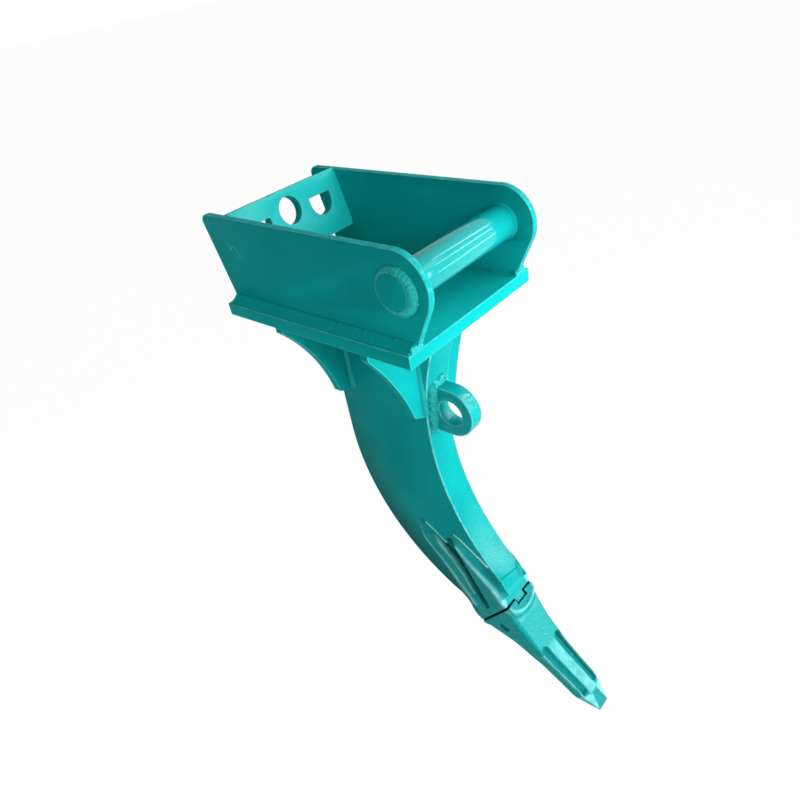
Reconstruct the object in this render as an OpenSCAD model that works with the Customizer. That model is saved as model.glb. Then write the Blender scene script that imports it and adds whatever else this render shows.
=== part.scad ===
// Excavator ripper: a pin hitch headstock, one curved shank and a renewable point.
// X runs forward, Y to the left and Z up. The origin is the middle of the hitch bar.

/* [Hitch] */
// Diameter of the hitch bar
bar_d = 50; // [40:1:60]
// Length of bar standing proud of each side plate
bar_proud = 8; // [8:1:14]
// Clear width between the side plates
inner_w = 216; // [180:1:260]
// Thickness of the side plates
side_t = 10; // [8:1:16]
// Radius of the side plate round the bar
boss_r = 52; // [46:1:60]
// Height of the bar axis above the base plate
bar_h = 78; // [72:1:100]
// Distance from the bar axis back to the rear foot of the side plates
side_back = 348; // [300:1:400]
// Height of the side plates at the rear
side_rear_h = 133; // [120:1:145]
// Distance from the bar axis forward to the front foot of the side plates
side_front = 19; // [10:1:30]
// Lean of the rear edge and of the lock plate, in degrees from upright
rear_lean = 14; // [5:1:20]
// Radius of the side plates' upper rear corner
corner_r = 12; // [5:1:20]

/* [Lock plate] */
// Thickness of the lock plate
lock_t = 18; // [12:1:25]
// Height of the lock plate along its lean
lock_h = 91; // [85:1:100]
// Distance of the lock plate's front face from the side plates' rear edge
lock_in = 57; // [45:1:80]
// Distance of its top edge below the side plates' rear corner, along the lean
lock_down = 13; // [10:1:20]
// Radius of the round lock hole
lock_hole_r = 21; // [15:1:24]
// Distance of the round hole's centre below the top edge
lock_hole_down = 31; // [29:1:36]
// Width of each D hole
slot_w = 44; // [30:1:50]
// Depth of each D hole below its flat edge
slot_depth = 31; // [27:1:34]
// Distance of the D holes' flat edge below the top edge
slot_down = 28; // [20:1:34]
// Distance of each D hole's middle from the middle of the plate
slot_off = 63; // [52:1:66]

/* [Base and shank] */
// Thickness of the base plate
base_t = 20; // [15:1:30]
// Ledge of base plate outside each side plate
base_ledge = 19; // [14:1:30]
// Base plate ahead of the side plates' front foot
base_lip = 3; // [0:1:10]
// Thickness of the shank
shank_t = 55; // [45:1:60]
// Position of the shank's straight rear edge behind the bar axis
shank_rear = 262; // [245:1:280]
// Position of the hollow front edge's rearmost line behind the bar axis
shank_throat = 72; // [60:1:85]
// Radius of the hollow front edge
front_r = 420; // [400:5:460]
// Radius of the rounded rear edge
rear_r = 357; // [345:1:380]
// Slope of the straight front run above the adapter, in degrees below level
front_slope = 53; // [51:0.5:55]

/* [Gussets] */
// Thickness of the gussets
gusset_t = 15; // [10:1:20]
// Front face of the front gussets behind the bar axis
front_gusset_x = 72; // [66:1:80]
// Distance of the front gussets' outer ends from the edge of the base plate
front_gusset_inset = 16; // [2:1:24]
// Straight lip at the outer end of a front gusset
front_gusset_lip = 23; // [8:1:30]
// Width of a front gusset's foot beside the shank
front_gusset_foot = 24; // [16:1:32]
// Depth of the foot's outer corner below the base plate, front gussets
front_gusset_drop = 164; // [150:1:170]
// Radius of the hollow edge of the front gussets
front_gusset_r = 410; // [300:5:500]
// Front face of the rear gussets behind the bar axis
rear_gusset_x = 230; // [200:1:240]
// Distance of the rear gussets' outer ends from the edge of the base plate
rear_gusset_inset = 1; // [0:1:16]
// Straight lip at the outer end of a rear gusset
rear_gusset_lip = 8; // [4:1:20]
// Width of a rear gusset's foot beside the shank
rear_gusset_foot = 30; // [20:1:40]
// Depth of the foot's outer corner below the base plate, rear gussets
rear_gusset_drop = 158; // [140:1:170]
// Radius of the hollow edge of the rear gussets
rear_gusset_r = 300; // [260:5:400]

/* [Lifting eye] */
// Thickness of the lifting eye
eye_t = 20; // [14:1:30]
// Outer radius of the lifting eye
eye_r = 42; // [36:1:48]
// Radius of the hole in the eye
eye_hole_r = 22; // [14:1:26]
// Distance of the eye's centre ahead of the shank
eye_out = 34; // [28:1:38]
// Depth of the eye's centre below the base plate
eye_drop = 166; // [150:1:180]

/* [Tooth] */
// Slope of the tooth's axis, in degrees below level
tooth_slope = 38; // [36:0.5:40]
// Position of the joint between adapter and point, ahead of the bar axis
tooth_x = 24.5; // [15:0.5:35]
// Depth of that joint below the bar axis
tooth_drop = 681; // [670:1:700]
// Length of the point from the joint to its tip
point_l = 248; // [230:1:270]
// Width of the point at the joint
point_w = 76; // [72:1:80]
// Height of the point at the joint
point_h = 96; // [90:1:100]
// Width of the point where the chisel tip begins
neck_w = 52; // [46:1:58]
// Thickness of the fluted part of the point
blade_h = 26; // [24:1:30]
// Length of the chisel tip along its flanks
chisel_l = 42; // [36:1:48]
// Length of the bevel that runs out at the cutting edge
bevel_l = 32; // [26:1:36]
// Width of the cutting edge
edge_w = 26; // [16:1:34]
// Thickness of the cutting edge
edge_t = 3; // [1:0.5:6]
// Radius of the flutes
flute_r = 8; // [6:0.5:9]
// Distance of the flutes' upper ends from the joint
flute_start = 106; // [100:1:120]
// Length of the bevel on the front of the shank's end
shank_bevel_l = 32; // [20:1:40]
// Length of the nose inside the point
nose_l = 92; // [80:1:96]
// Length of the adapter's front legs beside the shank
front_leg_l = 149; // [130:1:165]
// Length of the adapter's rear legs beside the shank
rear_leg_l = 206; // [180:1:220]
// Diameter of the tooth pin
pin_d = 17; // [12:1:20]
// Visible gap between adapter and point
joint_gap = 3; // [1:0.5:5]

/* [Welds] */
// Leg of the large fillet welds
weld_leg = 10; // [6:1:12]
// Leg of the fillet welds round the bar ends
bar_weld_leg = 8; // [4:1:8]

/* [Hidden] */
$fn = 96;
paint = [0.0, 0.62, 0.60];
bare = [0.25, 0.27, 0.27];
bead = [0.02, 0.68, 0.66];
left = 1;
right = -1;
// Overlap that keeps cuts clear of coincident faces
cut = 1;
// Depth by which the side plates' straight edges sink into their round end
blend = 0.2;
// Facets of the large arcs
arc_fn = 240;

// Headstock values
bar_r = bar_d / 2;
base_top = -bar_h;
base_bottom = base_top - base_t;
plate_in = inner_w / 2;
plate_out = plate_in + side_t;
base_half = plate_out + base_ledge;
base_back = side_back + base_lip;
base_front = side_front + base_lip;
rear_foot = [-side_back, base_top];
rear_top = rear_foot + side_rear_h * [-tan(rear_lean), 1];
front_foot = [side_front, base_top];
half_shank = shank_t / 2;
// Width of the side plates' fillets, which end short of the base plate's edge
ledge_margin = 2;
side_weld_w = base_ledge - ledge_margin;
// Fall of a gusset's foot from its outer corner to the shank
gusset_heel = 12;

// Tooth values: u runs along the tooth to its tip and v to its front
joint = [tooth_x, -tooth_drop];
along = [cos(tooth_slope), -sin(tooth_slope)];
across = [sin(tooth_slope), cos(tooth_slope)];
function in_tooth(u, v) = joint + u * along + v * across;
half_w = point_w / 2;
half_h = point_h / 2;
half_blade = blade_h / 2;
// Depth of the adapter's solid part above the joint, where the shank ends
throat = 16;
// Front and rear corners of the shank's end, across the tooth's axis
throat_front = half_h * 1.46;
throat_rear = -half_h * 0.81;
shank_end_front = in_tooth(-throat, throat_front);
shank_end_rear = in_tooth(-throat, throat_rear);
// Front of the adapter's solid part, from the shank's end down to the joint
shoulder = -joint_gap / 2;
body_heel = [-throat, half_h * 1.15];
body_toe = [shoulder, half_h];
// Bevel on the front of the shank's end, from its front edge down to the adapter's solid part
bevel_rise = shank_bevel_l * tan(front_slope - tooth_slope);
bevel_top = in_tooth(-throat - shank_bevel_l, throat_front + bevel_rise);
bevel_foot = in_tooth(-throat, body_heel.y);
// Distance of the seat between adapter and point inside their outlines
seat_in = 5;

// Shank values
rear_centre = [-shank_rear + rear_r,
    shank_end_rear.y + sqrt(rear_r ^ 2 - (shank_end_rear.x + shank_rear - rear_r) ^ 2)];
front_dir = [cos(front_slope), -sin(front_slope)];
front_normal = [sin(front_slope), cos(front_slope)];
front_centre_x = -shank_throat + front_r;
front_centre = [front_centre_x,
    (shank_end_front * front_normal + front_r - front_centre_x * front_normal.x) / front_normal.y];
front_tangent = front_centre - front_r * front_normal;

// Eye values
eye_z = base_bottom - eye_drop;
eye_reach = front_r - eye_out;
eye_centre = [front_centre.x - sqrt(eye_reach ^ 2 - (eye_z - front_centre.y) ^ 2), eye_z];

// Half width and half height of the nose at its root and at its tip
nose_root = [28, 34];
nose_tip = [18, 8];
nose_side_clearance = 1;
nose_end_clearance = 2;
// Pin values, in the tooth's frame
pin_u = 30;
pin_v = -8;
pin_r = pin_d / 2;
pin_clearance = 0.5;
pin_recess = 6;
retainer_w = 6;
retainer_wall = 5;
retainer_seat = 16;
retainer_top = retainer_seat + retainer_w;
groove_depth = 1;
// Straight rim of the point's faces and of its flanks, and the length of the hollow curve past it
face_rim = 5;
flank_rim = 20;
curve_l = 130;
// Where the flanks and the faces turn in to the edge
chisel_u = point_l - chisel_l;
bevel_u = point_l - bevel_l;
// Half width of the spine between the flutes where it meets the tip
spine_half = 7;
// Half height of the flanks where the tip's corner facets begin
facet_h = 9;
// Leg of the small upright fillets
small_leg = weld_leg / 2;

// Point where a line from p touches a circle of radius r about the origin
function touch(p, r, sense) =
    let (a = atan2(p.y, p.x) + sense * acos(r / norm(p))) r * [cos(a), sin(a)];

// Points that round the corner b of the path a, b, c with radius r
function rounded(a, b, c, r, steps = 8) =
    let (p = (a - b) / norm(a - b),
        q = (c - b) / norm(c - b),
        half = acos(p * q) / 2,
        centre = b + (p + q) / norm(p + q) * r / sin(half),
        start = b + p * r / tan(half) - centre,
        end = b + q * r / tan(half) - centre,
        from = atan2(start.y, start.x),
        turn = atan2(end.y, end.x) - from,
        sweep = turn > 180 ? turn - 360 : turn < -180 ? turn + 360 : turn)
    [for (i = [0 : steps]) centre + r * [cos(from + sweep * i / steps), sin(from + sweep * i / steps)]];

// Centre of the circle of radius r through p and q, on the left of the way from p to q
function arc_centre(p, q, r) =
    let (d = q - p, n = norm(d)) (p + q) / 2 + [-d.y, d.x] / n * sqrt(r ^ 2 - (n / 2) ^ 2);

// Half height of the point at u: a hollow curve that runs out into the blade
function point_half_h(u) =
    half_blade + (half_h - half_blade) * pow(max(0, 1 - max(0, u - face_rim) / curve_l), 1.5);

// Half width of the point at u: a hollow curve that runs out at the chisel tip
function point_half_w(u) =
    neck_w / 2 + (half_w - neck_w / 2)
        * pow(max(0, 1 - max(0, u - flank_rim) / (chisel_u - flank_rim)), 1.3);

// Corners of a leg's outline from shares of its length above the throat and of the point's half height
function leg_outline(length, shares) = [for (k = shares) [-throat - k.x * length, k.y * half_h]];

// Stands an x-z outline upright between two y positions
module upright(y0, y1) {
    translate([0, y1, 0])
        rotate([90, 0, 0])
            linear_extrude(y1 - y0)
                children();
}

// Stands a y-z outline across the ripper, with its rear face at x
module crosswise(x, thickness) {
    translate([x, 0, 0])
        rotate([90, 0, 90])
            linear_extrude(thickness)
                children();
}

// Puts children on one side of the middle plane
module on_side(side) {
    if (side == left)
        children();
    else
        mirror([0, 1, 0])
            children();
}

// Puts children in the tooth's frame
module tooth_frame() {
    translate([joint.x, 0, joint.y])
        rotate([0, tooth_slope, 0])
            children();
}

// Puts children in the lock plate's frame: x forward through it and z down from its top edge
module lock_frame() {
    translate([rear_top.x, 0, rear_top.y])
        rotate([0, -rear_lean, 0])
            translate([lock_in, 0, -lock_down])
                mirror([0, 0, 1])
                    children();
}

// Straight fillet weld along x, with its foot along +y and its rise along +z
module fillet_x(length, foot, rise) {
    rotate([90, 0, 90])
        linear_extrude(length)
            polygon([[0, 0], [foot, 0], [0, rise]]);
}

// Side plate without its round end, into which its straight edges run
module side_web() {
    top_touch = touch(rear_top, boss_r - blend, -1);
    front_touch = touch(front_foot, boss_r - blend, 1);
    polygon(concat(
        rounded(rear_foot, rear_top, top_touch, corner_r),
        [top_touch, front_touch, front_foot, rear_foot]));
}

module side_plate(side) {
    color(paint)
        on_side(side)
            difference() {
                union() {
                    upright(plate_in, plate_out)
                        circle(boss_r);
                    upright(plate_in, plate_out)
                        side_web();
                }
                upright(plate_in - cut, plate_out + cut)
                    circle(bar_r);
            }
}

module side_plate_left() {
    side_plate(left);
}

module side_plate_right() {
    side_plate(right);
}

module hitch_bar() {
    color(paint)
        upright(-plate_out - bar_proud, plate_out + bar_proud)
            circle(bar_r);
}

// Outline of one D hole, seen along x, with its flat edge up and a round foot
module slot_outline() {
    slot_r = slot_w / 2;
    straight = slot_depth - slot_r;
    translate([-slot_r, slot_down])
        square([slot_w, straight]);
    intersection() {
        translate([0, slot_down + straight])
            circle(slot_r);
        translate([-slot_r, slot_down + straight / 2])
            square([slot_w, slot_depth]);
    }
}

module lock_plate() {
    color(paint)
        lock_frame()
            difference() {
                crosswise(-lock_t, lock_t)
                    translate([-plate_in, 0])
                        square([inner_w, lock_h]);
                crosswise(-lock_t - cut, lock_t + 2 * cut) {
                    translate([0, lock_hole_down])
                        circle(lock_hole_r);
                    for (side = [left, right])
                        translate([side * slot_off, 0])
                            slot_outline();
                }
            }
}

module base_plate() {
    color(paint)
        translate([-base_back, -base_half, base_bottom])
            cube([base_back + base_front, 2 * base_half, base_t]);
}

// Everything ahead of the shank's front edge: the hollow and the straight run below it
module front_space() {
    run = front_r * front_dir;
    translate(front_centre)
        circle(front_r, $fn = arc_fn);
    polygon([front_tangent, front_tangent + run, front_centre + run, front_centre]);
}

module shank_outline() {
    difference() {
        union() {
            translate([-shank_rear, rear_centre.y])
                square([front_centre.x + shank_rear, base_bottom - rear_centre.y]);
            intersection() {
                translate(rear_centre)
                    circle(rear_r, $fn = arc_fn);
                translate([-shank_rear, rear_centre.y - 2 * rear_r])
                    square([front_centre.x + shank_rear, 2 * rear_r]);
            }
        }
        front_space();
        translate(in_tooth(-throat, 0))
            rotate(-tooth_slope)
                translate([0, -2 * rear_r])
                    square([2 * rear_r, 4 * rear_r]);
        polygon([bevel_top, bevel_top + throat * across, bevel_foot + throat_front * across, bevel_foot]);
    }
}

module shank() {
    color(paint)
        upright(-half_shank, half_shank)
            shank_outline();
}

// Outline of a left gusset, seen along x, with its hollow lower edge
module gusset_outline(inset, lip, foot_w, drop, radius) {
    tip = [base_half - inset, base_bottom - lip];
    foot = [half_shank + foot_w, base_bottom - drop];
    difference() {
        polygon([
            [half_shank, base_bottom], [tip.x, base_bottom], tip, foot,
            [half_shank, foot.y - gusset_heel]]);
        translate(arc_centre(tip, foot, radius))
            circle(radius, $fn = arc_fn);
    }
}

module front_gusset(side) {
    color(paint)
        on_side(side)
            crosswise(-front_gusset_x - gusset_t, gusset_t)
                gusset_outline(front_gusset_inset, front_gusset_lip, front_gusset_foot, front_gusset_drop,
                    front_gusset_r);
}

module front_gusset_left() {
    front_gusset(left);
}

module front_gusset_right() {
    front_gusset(right);
}

module rear_gusset(side) {
    color(paint)
        on_side(side)
            crosswise(-rear_gusset_x - gusset_t, gusset_t)
                gusset_outline(rear_gusset_inset, rear_gusset_lip, rear_gusset_foot, rear_gusset_drop,
                    rear_gusset_r);
}

module rear_gusset_left() {
    rear_gusset(left);
}

module rear_gusset_right() {
    rear_gusset(right);
}

module lifting_eye() {
    color(paint)
        upright(-eye_t / 2, eye_t / 2)
            difference() {
                intersection() {
                    union() {
                        translate(eye_centre)
                            circle(eye_r);
                        translate([eye_centre.x - eye_r - eye_out, eye_centre.y - eye_r])
                            square([eye_r + eye_out, 2 * eye_r]);
                    }
                    front_space();
                }
                translate(eye_centre)
                    circle(eye_hole_r);
            }
}

// Half outlines of the nose: u against half height and against half width
module nose_side(end_clearance = 0) {
    tip_u = nose_l + end_clearance;
    polygon([[-throat, -nose_root.y], [0, -nose_root.y], [tip_u, -nose_tip.y], [tip_u, nose_tip.y],
        [0, nose_root.y], [-throat, nose_root.y]]);
}

module nose_plan(clearance = 0, end_clearance = 0) {
    tip_u = nose_l + end_clearance;
    root_y = nose_root.x + clearance;
    tip_y = nose_tip.x + clearance;
    polygon([[-throat, -root_y], [0, -root_y], [tip_u, -tip_y], [tip_u, tip_y], [0, root_y],
        [-throat, root_y]]);
}

module nose(clearance = 0, end_clearance = 0) {
    intersection() {
        upright(-half_w, half_w)
            nose_side(end_clearance);
        translate([0, 0, -half_h])
            linear_extrude(point_h)
                nose_plan(clearance, end_clearance);
    }
}

// One leg of the fork, hulled from its outline on the shank to the smaller one on its outer face.
// Both outlines are lists of u, v corners.
module fork_leg(inner, outer) {
    skin = 0.5;
    hull() {
        upright(half_shank, half_shank + skin)
            polygon(inner);
        upright(half_w - skin, half_w)
            polygon(outer);
    }
}

// The tooth pin's bore, from one y position to another
module pin_bore(y0, y1, radius) {
    translate([pin_u, 0, pin_v])
        upright(y0, y1)
            circle(radius, $fn = 64);
}

module tooth_adapter() {
    front_inner = leg_outline(front_leg_l, [
        [1, 1.42], [0.87, 1.6], [0.28, 1.73], [0, 1.46], [0, 0.04], [0.09, 0.2], [0.56, 0.92],
        [0.93, 1.2]]);
    front_outer = leg_outline(front_leg_l, [
        [0.85, 1.42], [0.56, 1.3], [0.21, 1.21], [0, 1.15], [0, 0.12], [0.08, 0.3], [0.56, 1.04],
        [0.83, 1.3]]);
    rear_inner = leg_outline(rear_leg_l, [
        [1, 0.63], [0.71, 0.77], [0.45, 0.63], [0.14, 0.17], [0, -0.08], [0, -1.04], [0.21, -0.96],
        [0.49, -0.38], [0.92, 0.08]]);
    rear_outer = leg_outline(rear_leg_l, [
        [0.89, 0.5], [0.71, 0.67], [0.45, 0.54], [0.14, 0.08], [0, -0.17], [0, -0.98], [0.21, -0.75],
        [0.49, -0.13], [0.87, 0.25]]);
    rear_ease = 1;
    tongue_half = 13;
    tongue_l = 9;
    tongue_fall = 3;
    color(paint)
        tooth_frame()
            difference() {
                union() {
                    upright(-half_w, half_w)
                        polygon([[-throat, -half_h], [shoulder, -half_h + rear_ease], body_toe, body_heel]);
                    for (front = [1, -1])
                        upright(-tongue_half, tongue_half)
                            polygon([[shoulder, front * half_h], [tongue_l, front * (half_h - tongue_fall)],
                                [tongue_l, front * nose_root.y], [shoulder, front * nose_root.y]]);
                    upright(-half_w + seat_in, half_w - seat_in)
                        polygon([[shoulder, -half_h + seat_in], [-shoulder, -half_h + seat_in],
                            [-shoulder, half_h - seat_in], [shoulder, half_h - seat_in]]);
                    nose();
                    for (side = [left, right])
                        on_side(side) {
                            fork_leg(front_inner, front_outer);
                            fork_leg(rear_inner, rear_outer);
                        }
                }
                pin_bore(-half_w - cut, half_w + cut, pin_r);
                pin_bore(-half_w - cut, -retainer_seat, pin_r + retainer_wall);
            }
}

// Side view of the point, with growth added to its height
module point_side(growth = 0) {
    steps = 16;
    start = joint_gap / 2;
    top = concat(
        [for (i = [0 : steps]) let (u = start + (curve_l - start) * i / steps) [u, point_half_h(u) + growth]],
        [[bevel_u, half_blade], [point_l, edge_t / 2]]);
    polygon(concat(top, [for (i = [len(top) - 1 : -1 : 0]) [top[i].x, -top[i].y]]));
}

// Plan of the point: hollow flanks and the chisel tip
module point_plan() {
    steps = 12;
    start = joint_gap / 2;
    span = chisel_u - flank_rim;
    flank = concat(
        [[start, half_w]],
        [for (i = [0 : steps]) let (u = flank_rim + span * i / steps) [u, point_half_w(u)]],
        [[point_l, edge_w / 2]]);
    polygon(concat(flank, [for (i = [len(flank) - 1 : -1 : 0]) [flank[i].x, -flank[i].y]]));
}

// Everything outside the plane through three points, seen to run anticlockwise from there
module outside(a, b, c) {
    reach = point_l;
    n = cross(b - a, c - a);
    translate(a)
        rotate([0, acos(n.z / norm(n)), atan2(n.y, n.x)])
            translate([-reach, -reach, 0])
                cube([2 * reach, 2 * reach, reach]);
}

// Cuts that face one corner of the tip, from the spine's end and the edge's end to the flank
module tip_facet() {
    outside(
        [bevel_u - cut, spine_half, half_blade],
        [point_l, edge_w / 2, edge_t / 2],
        [chisel_u, neck_w / 2, facet_h]);
}

module tooth_point() {
    collar_t = 3;
    collar_u = 40;
    flute_wall = [5, 9];
    flute_end = 6;
    flute_from = [flute_start, neck_w / 2 - flute_wall.x];
    flute_to = [chisel_u - flute_end, neck_w / 2 - flute_wall.y];
    flute_lift = 2.5;
    flute_dir = flute_to - flute_from;
    notch_half = 14;
    notch_l = 11;
    notch_top = half_h + 2 * collar_t;
    notch_floor = nose_root.y - 8;
    color(paint)
        tooth_frame()
            difference() {
                union() {
                    intersection() {
                        upright(-half_w, half_w)
                            point_side();
                        translate([0, 0, -half_h])
                            linear_extrude(point_h)
                                point_plan();
                    }
                    intersection() {
                        upright(-half_w, half_w)
                            point_side(collar_t);
                        translate([0, 0, -half_h - collar_t])
                            linear_extrude(point_h + 2 * collar_t)
                                intersection() {
                                    point_plan();
                                    translate([collar_u - half_w, 0])
                                        circle(half_w);
                                }
                    }
                }
                nose(nose_side_clearance, nose_end_clearance);
                for (front = [1, -1])
                    upright(-notch_half, notch_half)
                        polygon([[-cut, front * notch_top], [notch_l, front * notch_top],
                            [notch_l, front * notch_floor], [-cut, front * notch_floor]]);
                for (side = [left, right], front = [1, -1])
                    translate([flute_from.x, side * flute_from.y, front * (half_blade + flute_lift)])
                        rotate([0, 90, side * atan2(flute_dir.y, flute_dir.x)]) {
                            cylinder(r = flute_r, h = norm(flute_dir), $fn = 48);
                            sphere(r = flute_r, $fn = 48);
                            translate([0, 0, norm(flute_dir)])
                                sphere(r = flute_r, $fn = 48);
                        }
                for (side = [left, right], front = [1, -1])
                    on_side(side)
                        mirror([0, 0, front == 1 ? 0 : 1])
                            tip_facet();
                pin_bore(-half_w - cut, half_w + cut, pin_r + pin_clearance);
            }
}

module tooth_pin() {
    half_pin = half_w - pin_recess;
    color(bare)
        tooth_frame() {
            pin_bore(-half_pin, half_pin, pin_r - groove_depth);
            pin_bore(-half_pin, -retainer_top, pin_r);
            pin_bore(-retainer_seat, half_pin, pin_r);
        }
}

module pin_retainer() {
    color(bare)
        tooth_frame()
            difference() {
                pin_bore(-retainer_top, -retainer_seat, pin_r + retainer_wall - pin_clearance);
                pin_bore(-retainer_top - cut, -retainer_seat + cut, pin_r - groove_depth);
            }
}

// Fillet ring round one bar end
module bar_weld(side) {
    color(bead)
        on_side(side)
            translate([0, plate_out, 0])
                rotate([-90, 0, 0])
                    rotate_extrude()
                        polygon([[bar_r, 0], [bar_r + bar_weld_leg, 0], [bar_r, bar_weld_leg]]);
}

module bar_weld_left() {
    bar_weld(left);
}

module bar_weld_right() {
    bar_weld(right);
}

// Fillet along the outside of a side plate's foot
module side_weld(side) {
    color(bead)
        on_side(side)
            translate([-side_back, plate_out, base_top])
                fillet_x(side_back + side_front, side_weld_w, weld_leg);
}

module side_weld_left() {
    side_weld(left);
}

module side_weld_right() {
    side_weld(right);
}

// Small fillet along the inside of a side plate's foot, from the bar forward
module inner_weld(side) {
    length = bar_r + side_front;
    color(bead)
        on_side(side)
            translate([-bar_r, plate_in, base_top])
                mirror([0, 1, 0])
                    fillet_x(length, small_leg, small_leg);
}

module inner_weld_left() {
    inner_weld(left);
}

module inner_weld_right() {
    inner_weld(right);
}

// Upright fillet where the lock plate's front face meets a side plate
module lock_weld(side) {
    color(bead)
        on_side(side)
            lock_frame()
                translate([0, plate_in, 0])
                    linear_extrude(lock_h)
                        polygon([[0, 0], [small_leg, 0], [0, -small_leg]]);
}

module lock_weld_left() {
    lock_weld(left);
}

module lock_weld_right() {
    lock_weld(right);
}

// Fillet along the shank's head under the base plate, between the gussets
module shank_weld(side) {
    color(bead)
        on_side(side)
            translate([-rear_gusset_x, half_shank, base_bottom])
                mirror([0, 0, 1])
                    fillet_x(rear_gusset_x - front_gusset_x - gusset_t, weld_leg, weld_leg);
}

module shank_weld_left() {
    shank_weld(left);
}

module shank_weld_right() {
    shank_weld(right);
}

// Upright fillet where a gusset's front face meets the shank
module gusset_weld(side, front_face, drop) {
    color(bead)
        on_side(side)
            translate([-front_face, half_shank, base_bottom - drop])
                linear_extrude(drop - weld_leg)
                    polygon([[0, 0], [small_leg, 0], [0, small_leg]]);
}

module front_gusset_weld_left() {
    gusset_weld(left, front_gusset_x, front_gusset_drop);
}

module front_gusset_weld_right() {
    gusset_weld(right, front_gusset_x, front_gusset_drop);
}

module rear_gusset_weld_left() {
    gusset_weld(left, rear_gusset_x, rear_gusset_drop);
}

module rear_gusset_weld_right() {
    gusset_weld(right, rear_gusset_x, rear_gusset_drop);
}

// Fillets along both sides of the eye's foot, curved with the hollow edge
module eye_weld() {
    reach = 2 * asin(eye_r / front_r);
    middle = atan2(eye_centre.y - front_centre.y, eye_centre.x - front_centre.x);
    color(bead)
        for (side = [left, right])
            on_side(side)
                translate([front_centre.x, eye_t / 2, front_centre.y])
                    rotate([-90, -middle - reach / 2, 0])
                        rotate_extrude(angle = reach, $fn = arc_fn)
                            polygon([[front_r, 0], [front_r, weld_leg], [front_r - weld_leg, 0]]);
}

// Low bead across the foot of the shank's bevel, where it meets the adapter
module throat_weld() {
    reach = 0.5;
    crown = small_leg / 2;
    bevel_run = [-shank_bevel_l, throat_front + bevel_rise - body_heel.y];
    toe = body_heel + reach * (body_toe - body_heel);
    heel = body_heel + reach * norm(body_toe - body_heel) * bevel_run / norm(bevel_run);
    color(bead)
        tooth_frame()
            upright(-half_shank, half_shank)
                polygon([body_heel, toe, body_heel + [crown, crown], heel]);
}

side_plate_left();
side_plate_right();
hitch_bar();
lock_plate();
base_plate();
shank();
front_gusset_left();
front_gusset_right();
rear_gusset_left();
rear_gusset_right();
lifting_eye();
tooth_adapter();
tooth_point();
tooth_pin();
pin_retainer();
bar_weld_left();
bar_weld_right();
side_weld_left();
side_weld_right();
lock_weld_left();
lock_weld_right();
shank_weld_left();
shank_weld_right();
front_gusset_weld_left();
front_gusset_weld_right();
rear_gusset_weld_left();
rear_gusset_weld_right();
eye_weld();
throat_weld();
inner_weld_left();
inner_weld_right();
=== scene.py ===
"""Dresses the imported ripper: shaped plates, cast tooth, weld beads, gloss paint and a plain studio."""

import logging
import math
from collections.abc import Callable
from dataclasses import dataclass, field
from enum import Enum

import bmesh
import bpy
import numpy as np
from bpy.types import Material, Mesh, Node, NodeSocket, NodeTree, Object
from mathutils import Matrix, Vector, noise


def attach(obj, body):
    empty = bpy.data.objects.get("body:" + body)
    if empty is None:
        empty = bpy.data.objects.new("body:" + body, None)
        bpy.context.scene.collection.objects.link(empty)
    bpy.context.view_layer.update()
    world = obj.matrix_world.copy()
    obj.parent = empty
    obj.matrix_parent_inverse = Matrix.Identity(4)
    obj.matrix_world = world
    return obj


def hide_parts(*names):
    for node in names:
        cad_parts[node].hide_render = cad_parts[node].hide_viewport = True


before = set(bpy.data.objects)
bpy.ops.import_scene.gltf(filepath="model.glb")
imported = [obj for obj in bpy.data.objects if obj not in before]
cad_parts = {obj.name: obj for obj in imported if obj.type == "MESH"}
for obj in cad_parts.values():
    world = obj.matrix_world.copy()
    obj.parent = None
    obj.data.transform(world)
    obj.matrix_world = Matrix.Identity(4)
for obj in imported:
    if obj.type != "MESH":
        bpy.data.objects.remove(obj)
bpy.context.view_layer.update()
LOG = logging.getLogger("ripper")
MM = 0.001
BODY = "root"
AHEAD, UP, DOWN = Vector((1, 0, 0)), Vector((0, 0, 1)), Vector((0, 0, -1))
WHITE = (1.0, 1.0, 1.0)


class Slot(Enum):
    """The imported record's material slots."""

    PAINT = "paint"
    WELD = "weld"


class Side(Enum):
    """The two sides of the ripper, by the sign of y."""

    LEFT = 1
    RIGHT = -1

    @property
    def word(self) -> str:
        """The side's name as it ends the CAD nodes' names."""
        return self.name.lower()

    @property
    def out(self) -> Vector:
        """The way out of the ripper on this side."""
        return Vector((0, self.value, 0))


def linear(red: int, green: int, blue: int) -> tuple[float, float, float, float]:
    """Turns display values from 0 to 255 into the linear colour that a shader takes."""
    shares = [value / 255 for value in (red, green, blue)]
    return (*(s / 12.92 if s <= 0.04045 else ((s + 0.055) / 1.055) ** 2.4 for s in shares), 1.0)


class Term:
    """A node's result that takes part in sums: each operator adds a math node."""

    def __init__(self, sheet: "Sheet", socket: NodeSocket) -> None:
        """Keeps the socket and the sheet that it is on."""
        self.sheet, self.socket = sheet, socket

    def __add__(self, other: object) -> "Term":
        """The sum of both."""
        return self.sheet.math("ADD", self, other)

    def __sub__(self, other: object) -> "Term":
        """What is left without the other."""
        return self.sheet.math("SUBTRACT", self, other)

    def __rsub__(self, other: object) -> "Term":
        """What is left of the other."""
        return self.sheet.math("SUBTRACT", other, self)

    def __mul__(self, other: object) -> "Term":
        """The product of both."""
        return self.sheet.math("MULTIPLY", self, other)

    def __truediv__(self, other: object) -> "Term":
        """The share of the other."""
        return self.sheet.math("DIVIDE", self, other)

    def __rtruediv__(self, other: object) -> "Term":
        """The other's share of this."""
        return self.sheet.math("DIVIDE", other, self)

    __radd__, __rmul__ = __add__, __mul__


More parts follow.
